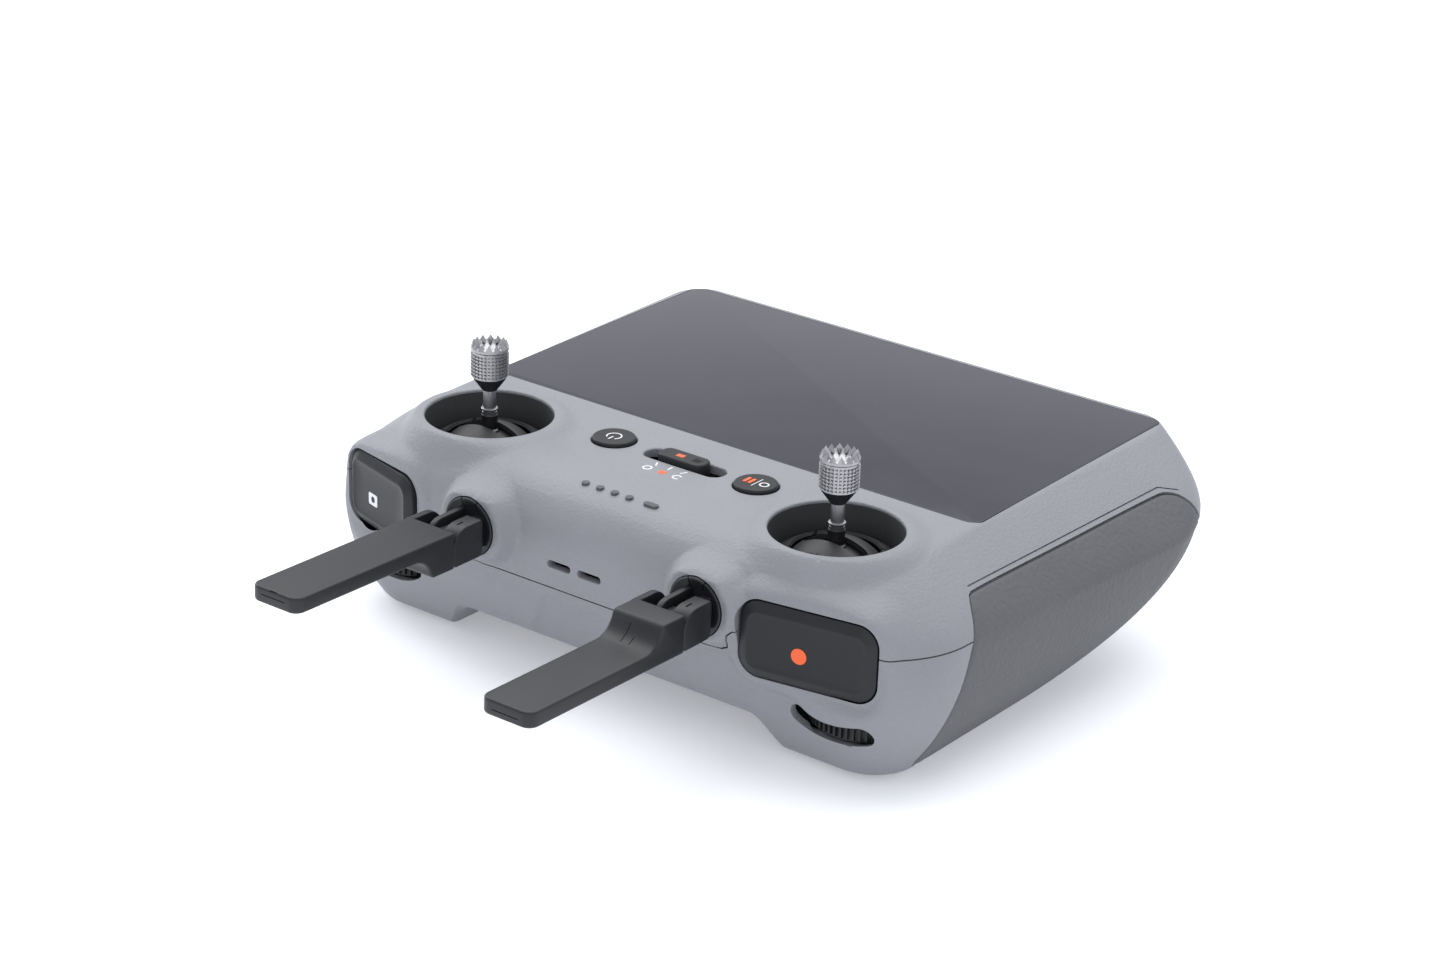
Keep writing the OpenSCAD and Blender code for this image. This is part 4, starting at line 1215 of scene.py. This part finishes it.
GIMBAL_Z = 31.0
BALL_R, ARCH_R = 11.4, 12.9                        # the stick's ball, and the tilting arch over it
PLATE_R, PLATE_Z = 22.2, 21.4                      # the curved plate between the arch and the well's wall
BIG = 20                                           # half the width of a block that cuts a whole ball


def dome(name, radius, at, steps=96):
    """A ball; its poles are closed by points on the axis."""
    side_view = [(radius * math.cos(a), radius * math.sin(a)) for a in np.linspace(-1.5, 1.5, 49)]
    return turned(name, [(0, -radius)] + side_view + [(0, radius)], at, steps)


def hollow_arch(cover, at, room_r, low_corner):
    """Keeps the part of a ball above a corner, and opens it for the ball inside and the stick's swing."""
    carve(cover, block("part", low_corner, (BIG, -low_corner[1], BIG), at), operation="INTERSECT")
    swing = stack("swing", round_box(15, 3.9, 1.9), [(0, 5), (0, BIG)], at)
    return carve(cover, dome("room", room_r, at), swing)


def make_gimbals():
    for side in (LEFT, RIGHT):
        name = SIDE_NAME[side]
        at = slide_to(side * STICK_X, STICK_Y, GIMBAL_Z)
        arch = hollow_arch(dome("arch", ARCH_R, at), at, 11.8, (-BIG, -6.2, -2))
        ring = turned("ring", [(11.8, -1.7), (13.1, -1.7), (13.1, 1.7), (11.8, 1.7)], at)
        cover = hollow_arch(dome("cover", 12.5, at), at, 11.75, (-BIG, -BIG, 2))
        carve(arch, ring, cover, operation="UNION")
        rounded(arch, 0.3, 3, 40)
        arch.name = name + "_arch"
        axles = [rod("axle", 0.95, 12.6, 17.6, at @ Matrix.Rotation(end * math.pi / 2, 4, "Y"), 24)
                 for end in (-1, 1)]
        axle = joined(name + "_arch_axles", *axles)
        dress(smooth(arch, 35), gimbal_black, name + "_gimbal_yoke", "gimbal_black", name + "_gimbal_yoke")
        dress(smooth(axle, 35), dark_metal, name + "_gimbal_yoke", "gimbal_black")
        ball = dome("ball", BALL_R, at)
        carve(ball, block("half", (-BIG, -BIG, -1), (BIG, BIG, BIG), at), operation="INTERSECT")
        carve(ball, dome("room", 10.2, at))
        step = [(2.1, 9.6), (2.1, 11.6), (1.75, 11.9), (1.75, 15.0)]
        post = turned("post", [(0, 9.6)] + step + [(0, 15.0)], at, 48)
        ball.name = name + "_ball"
        dress(smooth(ball, 35), gimbal_black, name + "_stick", "gimbal_black", name + "_gimbal_ball")
        dress(smooth(post, 35), dark_metal, name + "_stick", "gimbal_black")
        make_well(side)


def make_well(side):
    """The dark collar in the stick's opening, and the curved plate inside it with its parting lines."""
    name = SIDE_NAME[side]
    at = slide_to(side * STICK_X, STICK_Y, 0)
    outside = [(WELL_R - 0.12, 45.6), (WELL_R - 0.02, 45.5), (WELL_R - 0.02, 42.0), (WELL_R + 0.7, 41.9)]
    inside = [(WELL_R + 0.7, 34.0), (13.35, 34.0), (13.35, 42.6), (13.6, 43.0), (13.7, 45.45)]
    cup = turned(name + "_cup", outside + inside, at, 128)
    dress(smooth(cup, 35), well_black, "body", "trim_black", name + "_well_liner")
    outer = arc((0, PLATE_Z), PLATE_R, 53, 64.9, 12)
    inner = arc((0, PLATE_Z), PLATE_R - 0.7, 64.9, 53, 12)
    bowl = turned(name + "_bowl", outer + inner, at, 128)
    for angle, offset in ((0, 6.6), (0, -6.6), (90, 8.2), (90, -8.2)):
        line = block("parting", (-BIG, offset - 0.2, 40.3 - abs(offset)), (BIG, offset + 0.2, 50),
                     slide_to(side * STICK_X, STICK_Y, 0, angle))
        carve(bowl, line)
    dress(smooth(bowl, 35), gimbal_black, "body", "trim_black")


# ---- antennas ---------------------------------------------------------------------------
PIVOT_Y = -6.6                                     # place of the fold's pin, from the hub's face
EAR_R, BLADE_T = 4.1, 3.4                          # half height of the root, and thickness of the blade
RISE = 1.2                                         # degrees that a blade leans out of level
ROOT_Y = -EAR_R - 0.25


def slice_x(name, outline, x0, x1, at, edge_r=0.35):
    """A slice between two X places, drawn in Y and Z, with rounded edges."""
    return rounded(slab(name, outline, x0, x1, at @ ALONG_X), edge_r, 3, 25)


def make_hubs():
    for side in (LEFT, RIGHT):
        name = SIDE_NAME[side] + "_antenna_hub"
        at = slide_to(side * HUB_X, FACE_Y, HUB_Z)
        front_at = at @ FACING_FRONT
        rim = [(HUB_R, -0.25), (HUB_R - 0.15, -0.05), (HUB_R - 0.4, 0), (HUB_R - 0.7, -0.12)]
        face = [(HUB_R - 2.2, -0.6), (HUB_R - 2.7, -0.65), (0, -0.65)]
        disc = turned("disc", [(0, -7.5), (HUB_R, -7.5)] + rim + face, front_at, 96)
        neck = [(0, -HUB_DEPTH), (4.4, -HUB_DEPTH), (4.4, -8.9), (3, -8.9), (3, -7.2), (0, -7.2)]
        carve(disc, turned("neck", neck, front_at, 48), operation="UNION")
        for turn in (16, -22):
            at_line = front_at @ Matrix.Rotation(math.radians(turn), 4, "Z")
            carve(disc, block("line", (-0.12, 4.2, -0.75), (0.12, 7, 0.5), at_line))
        wide = arc((PIVOT_Y, 0), EAR_R, 90, 180, 16)
        wide += [(PIVOT_Y - EAR_R, -EAR_R + 0.4), (PIVOT_Y - EAR_R + 0.4, -EAR_R), (-2.9, -EAR_R),
                 (-2.0, -EAR_R + 0.9), (-2.0, EAR_R - 0.5), (-2.4, EAR_R)]
        narrow = arc((PIVOT_Y, 0), EAR_R, 90, 270, 24) + [(1.2, -EAR_R), (1.2, EAR_R)]
        ear = slice_x("ear", wide, 1.9, HUB_R - 0.45, at, 0.45)
        root = slab("root", [(-3, -3.2), (-3, 3.2), (1.2, 3.2), (1.2, -3.2)], 1.9, 4.2, at @ ALONG_X)
        thin = slice_x("thin", narrow, -2.3, -0.9, at, 0.3)
        notch = block("notch", (3.6, PIVOT_Y - 0.9, EAR_R - 0.55), (4.0, PIVOT_Y + 0.9, EAR_R + 1), at)
        carve(ear, notch)
        carve(disc, ear, root, thin, operation="UNION")
        disc.name = name + "_body"
        dress(smooth(disc, 32), antenna_black, name, "antenna_black", name)


def make_antennas():
    for side in (LEFT, RIGHT):
        name = SIDE_NAME[side] + "_antenna"
        flip = Matrix.Scale(-1 if side == LEFT else 1, 4, (0, 0, 1))
        lean = Matrix.Rotation(-math.radians(RISE), 4, "X")
        at = slide_to(side * HUB_X, FACE_Y + PIVOT_Y, HUB_Z) @ lean @ flip
        half = HUB_R - 0.05
        tip = TIP_Y - FACE_Y - PIVOT_Y
        step_y, scoop_r = -13.9, 2 * EAR_R - BLADE_T + 0.55
        # side view of root and blade, with the scoop as an arc
        centre = (step_y - 2.8, EAR_R + 0.55)
        blade_top = -EAR_R + BLADE_T
        outline = [(ROOT_Y, -EAR_R), (ROOT_Y, EAR_R)]
        scoop_start = centre[0] + math.sqrt(scoop_r ** 2 - 0.55 ** 2)
        outline += [(scoop_start + 0.9, EAR_R), (scoop_start + 0.35, EAR_R - 0.12)]
        outline += [(scoop_start + 0.02, EAR_R - 0.55)]
        outline += arc(centre, scoop_r, -14, -80, 18)
        outline += [(centre[0] - 1.6, blade_top + 0.02), (centre[0] - 6, blade_top)]
        outline += [(tip, blade_top), (tip, -EAR_R)]
        blade = slab("blade", outline, -half, half, at @ ALONG_X)
        carve(blade, slab("plan", tip_outline(half, tip), -FAR, FAR, at), operation="INTERSECT")
        rounded(blade, 0.62, 4, 34)
        arm_line = arc((0, 0), EAR_R, 90, -90, 24) + [(ROOT_Y - 1.4, -EAR_R), (ROOT_Y - 1.4, EAR_R)]
        arm = slice_x("arm", arm_line, -half, -half + 1.6, at, 0.3)
        tongue_line = arc((0, 0), 2.4, 90, -90, 20) + [(ROOT_Y - 1.4, -2.4), (ROOT_Y - 1.4, 2.4)]
        tongue = slice_x("tongue", tongue_line, -0.6, 1.6, at, 0.25)
        carve(blade, arm, tongue, operation="UNION")
        carve(blade, rod("pin_hole", 0.84, -FAR, FAR, at @ Matrix.Rotation(math.pi / 2, 4, "Y"), 32))
        # creases in the scoop, then the groove and the notch at the tip
        for x, length in ((-1.5, 3.4), (0.6, 1.5)):
            end = -70 + 14 * length
            crease = arc(centre, scoop_r + 0.22, -70, end, 12) + arc(centre, scoop_r - 0.3, end, -70, 12)
            carve(blade, slab("crease", crease, x, x + 0.16, at @ ALONG_X))
        carve(blade, block("parting", (-3.2, tip - 0.5, -EAR_R + 1.35), (3.2, tip + 0.22, -EAR_R + 1.55), at))
        carve(blade, block("release", (-0.9, tip - 0.5, -EAR_R - 0.5), (0.9, tip + 0.35, -EAR_R + 0.3), at))
        blade.name = name + "_blade"
        dress(smooth(blade, 32), antenna_black, name, "antenna_black", name)


def tip_outline(half, tip):
    """Plan of the blade: square at the root, round corners at the tip."""
    corner = 2.4
    left = arc((-half + corner, tip + corner), corner, 180, 270, 9)
    right = arc((half - corner, tip + corner), corner, 270, 360, 9)
    return [(-half, 1)] + left + right + [(half, 1)]


# ---- small parts ------------------------------------------------------------------------
def make_screws():
    """Case screws with six-sided sockets, head down; the thread is a row of rings."""
    rings = [(0.9 - 0.18 * (k % 2), 1.3 + 0.33 * k) for k in range(20)]
    parts = []
    for side in (LEFT, RIGHT):
        for x, y in SCREW_SPOTS:
            z = 0.8 if x > 50 else 11.4 if y > 0 else ROOF_Z + 0.6
            at = slide_to(side * x, y, z)
            head = turned("head", [(0, 0), (1.3, 0), (1.5, 0.2), (1.5, 1.0), (1.3, 1.2), (0, 1.2)], at, 32)
            carve(head, slab("socket", arc((0, 0), 0.75, 0, 300, 6), -1, 0.75, at))
            parts += [head, turned("thread", [(0, 1.1), (0.85, 1.1)] + rings + [(0, 8.0)], at, 20)]
    dress(smooth(joined("screws", *parts), 35), plated_steel, "body", "screw_steel", "case_screws")


def make_vent():
    """Wires laid across and along in two layers, inside a rim."""
    lo, hi = box_mm("vent_mesh")
    width, depth = hi.x - lo.x - 1, hi.y - lo.y - 1
    _, y, z = middle_mm("vent_mesh")
    gauge, thickness, layer = 0.24, 0.22, 0.1
    across = stud("across", width, gauge, thickness)
    PIECE_GRID.grow(across, Columns=1, Rows=24, Width=0.0, Depth=depth * MM, Finish=woven_mesh)
    along = stud("along", gauge, depth, thickness)
    PIECE_GRID.grow(along, Columns=66, Rows=1, Width=width * MM, Depth=0.0, Finish=woven_mesh)
    wires = [moved(across, 0, y, z + layer), moved(along, 0, y, z - layer)]
    at = slide_to(0, VENT_Y, 0)
    rim = stack("rim", round_box(width + 1, depth + 1, 2), [(0, z - 0.3), (0, z + 0.3)], at)
    carve(rim, stack("inside", round_box(width - 0.6, depth - 0.6, 1.3), [(0, z - 2), (0, z + 2)], at))
    dress(smooth(joined("vent_weave", *wires, rim)), woven_mesh, "body", "trim_black", "vent_mesh")


BOARDS = ("main_board", "record_switch_board", "shutter_switch_board", "top_switch_board",
          "back_switch_boards")
CAD_FINISH = ((glass_black, ("display_panel",)), (cell_wrap, ("battery_pack",)),
              (lamp_clear, ("light_guides",)), (green_board, BOARDS),
              (plated_steel, ("display_frame", "usb_socket", "card_socket", "board_screws")),
              (frame_plastic, ("speaker", "left_wheel_bracket", "right_wheel_bracket")),
              (well_black, ("left_gimbal_frame", "right_gimbal_frame")),
              (dark_metal, ("left_antenna_pin", "right_antenna_pin")),
              (soft_black, ("left_stick_stay", "right_stick_stay")))


def finish_cad_nodes():
    """Materials for the nodes that keep their own shape."""
    for material, nodes in CAD_FINISH:
        for node in nodes:
            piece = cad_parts[node]
            piece.data.materials.clear()
            piece.data.materials.append(material)


# ---- stage, lights and camera -----------------------------------------------------------
def make_stage():
    size = 4.0
    corners = [(-size, -size, 0), (size, -size, 0), (size, size, 0), (-size, size, 0)]
    mesh = bpy.data.meshes.new("floor")
    mesh.from_pydata(corners, [], [(0, 1, 2, 3)])
    mesh.materials.append(paper())
    floor = linked("floor", mesh)


def paper():
    f = Finish("paper", Roughness=0.7, Emission_Color=(0.95, 0.97, 1.0, 1), Emission_Strength=0.25)
    f.shades(f.noise(300, 2), (0.86, 0.87, 0.90), (0.90, 0.91, 0.93))
    return f.material


def make_light(name, size, power, place, target=(0, 0, 0.02)):
    """A flat lamp that points at the transmitter."""
    lamp = bpy.data.lights.new(name, "AREA")
    lamp.shape = "RECTANGLE"
    lamp.size, lamp.size_y = size
    lamp.energy = power
    holder = linked(name, lamp)
    holder.location = place
    holder.rotation_euler = (Vector(target) - Vector(place)).to_track_quat("-Z", "Y").to_euler()


def make_lights():
    world = bpy.data.worlds.new("studio")
    world.use_nodes = True
    sky = world.node_tree.nodes["Background"]
    sky.inputs["Color"].default_value = (0.93, 0.95, 1.0, 1)
    sky.inputs["Strength"].default_value = 0.85
    bpy.context.scene.world = world
    make_light("overhead", (1.3, 1.1), 9.5, (-0.15, 0.35, 0.95))
    make_light("front_fill", (0.9, 0.6), 1.2, (0.6, -0.9, 0.5))
    make_light("left_edge", (0.3, 0.9), 3.0, (-0.9, 0.1, 0.5))


def make_camera():
    """Seen from the front right and above, with a long lens."""
    azimuth, elevation, roll = math.radians(36.61), math.radians(23.04), math.radians(1.95)
    level_part = math.cos(elevation)
    forward = Vector((-math.sin(azimuth) * level_part, math.cos(azimuth) * level_part, -math.sin(elevation)))
    level = forward.cross(Vector((0, 0, 1))).normalized()
    upright = level.cross(forward)
    right = level * math.cos(roll) + upright * math.sin(roll)
    up = right.cross(forward)
    camera = linked("camera", bpy.data.cameras.new("camera"))
    camera.data.lens = 83.46
    camera.data.sensor_width = 36
    turn = Matrix((right, up, -forward)).transposed().to_4x4()
    camera.matrix_world = Matrix.Translation((0.3919, -0.5125, 0.3155)) @ turn
    bpy.context.scene.camera = camera


make_camera()
make_shells()
make_glass()
make_top_buttons()
make_switch()
make_deck_marks()
make_shoulder_buttons()
make_wheels()
make_back_buttons()
make_sticks()
make_gimbals()
make_hubs()
make_antennas()
make_screws()
make_vent()
finish_cad_nodes()
make_stage()
make_lights()
bpy.context.scene.view_settings.view_transform = "Standard"
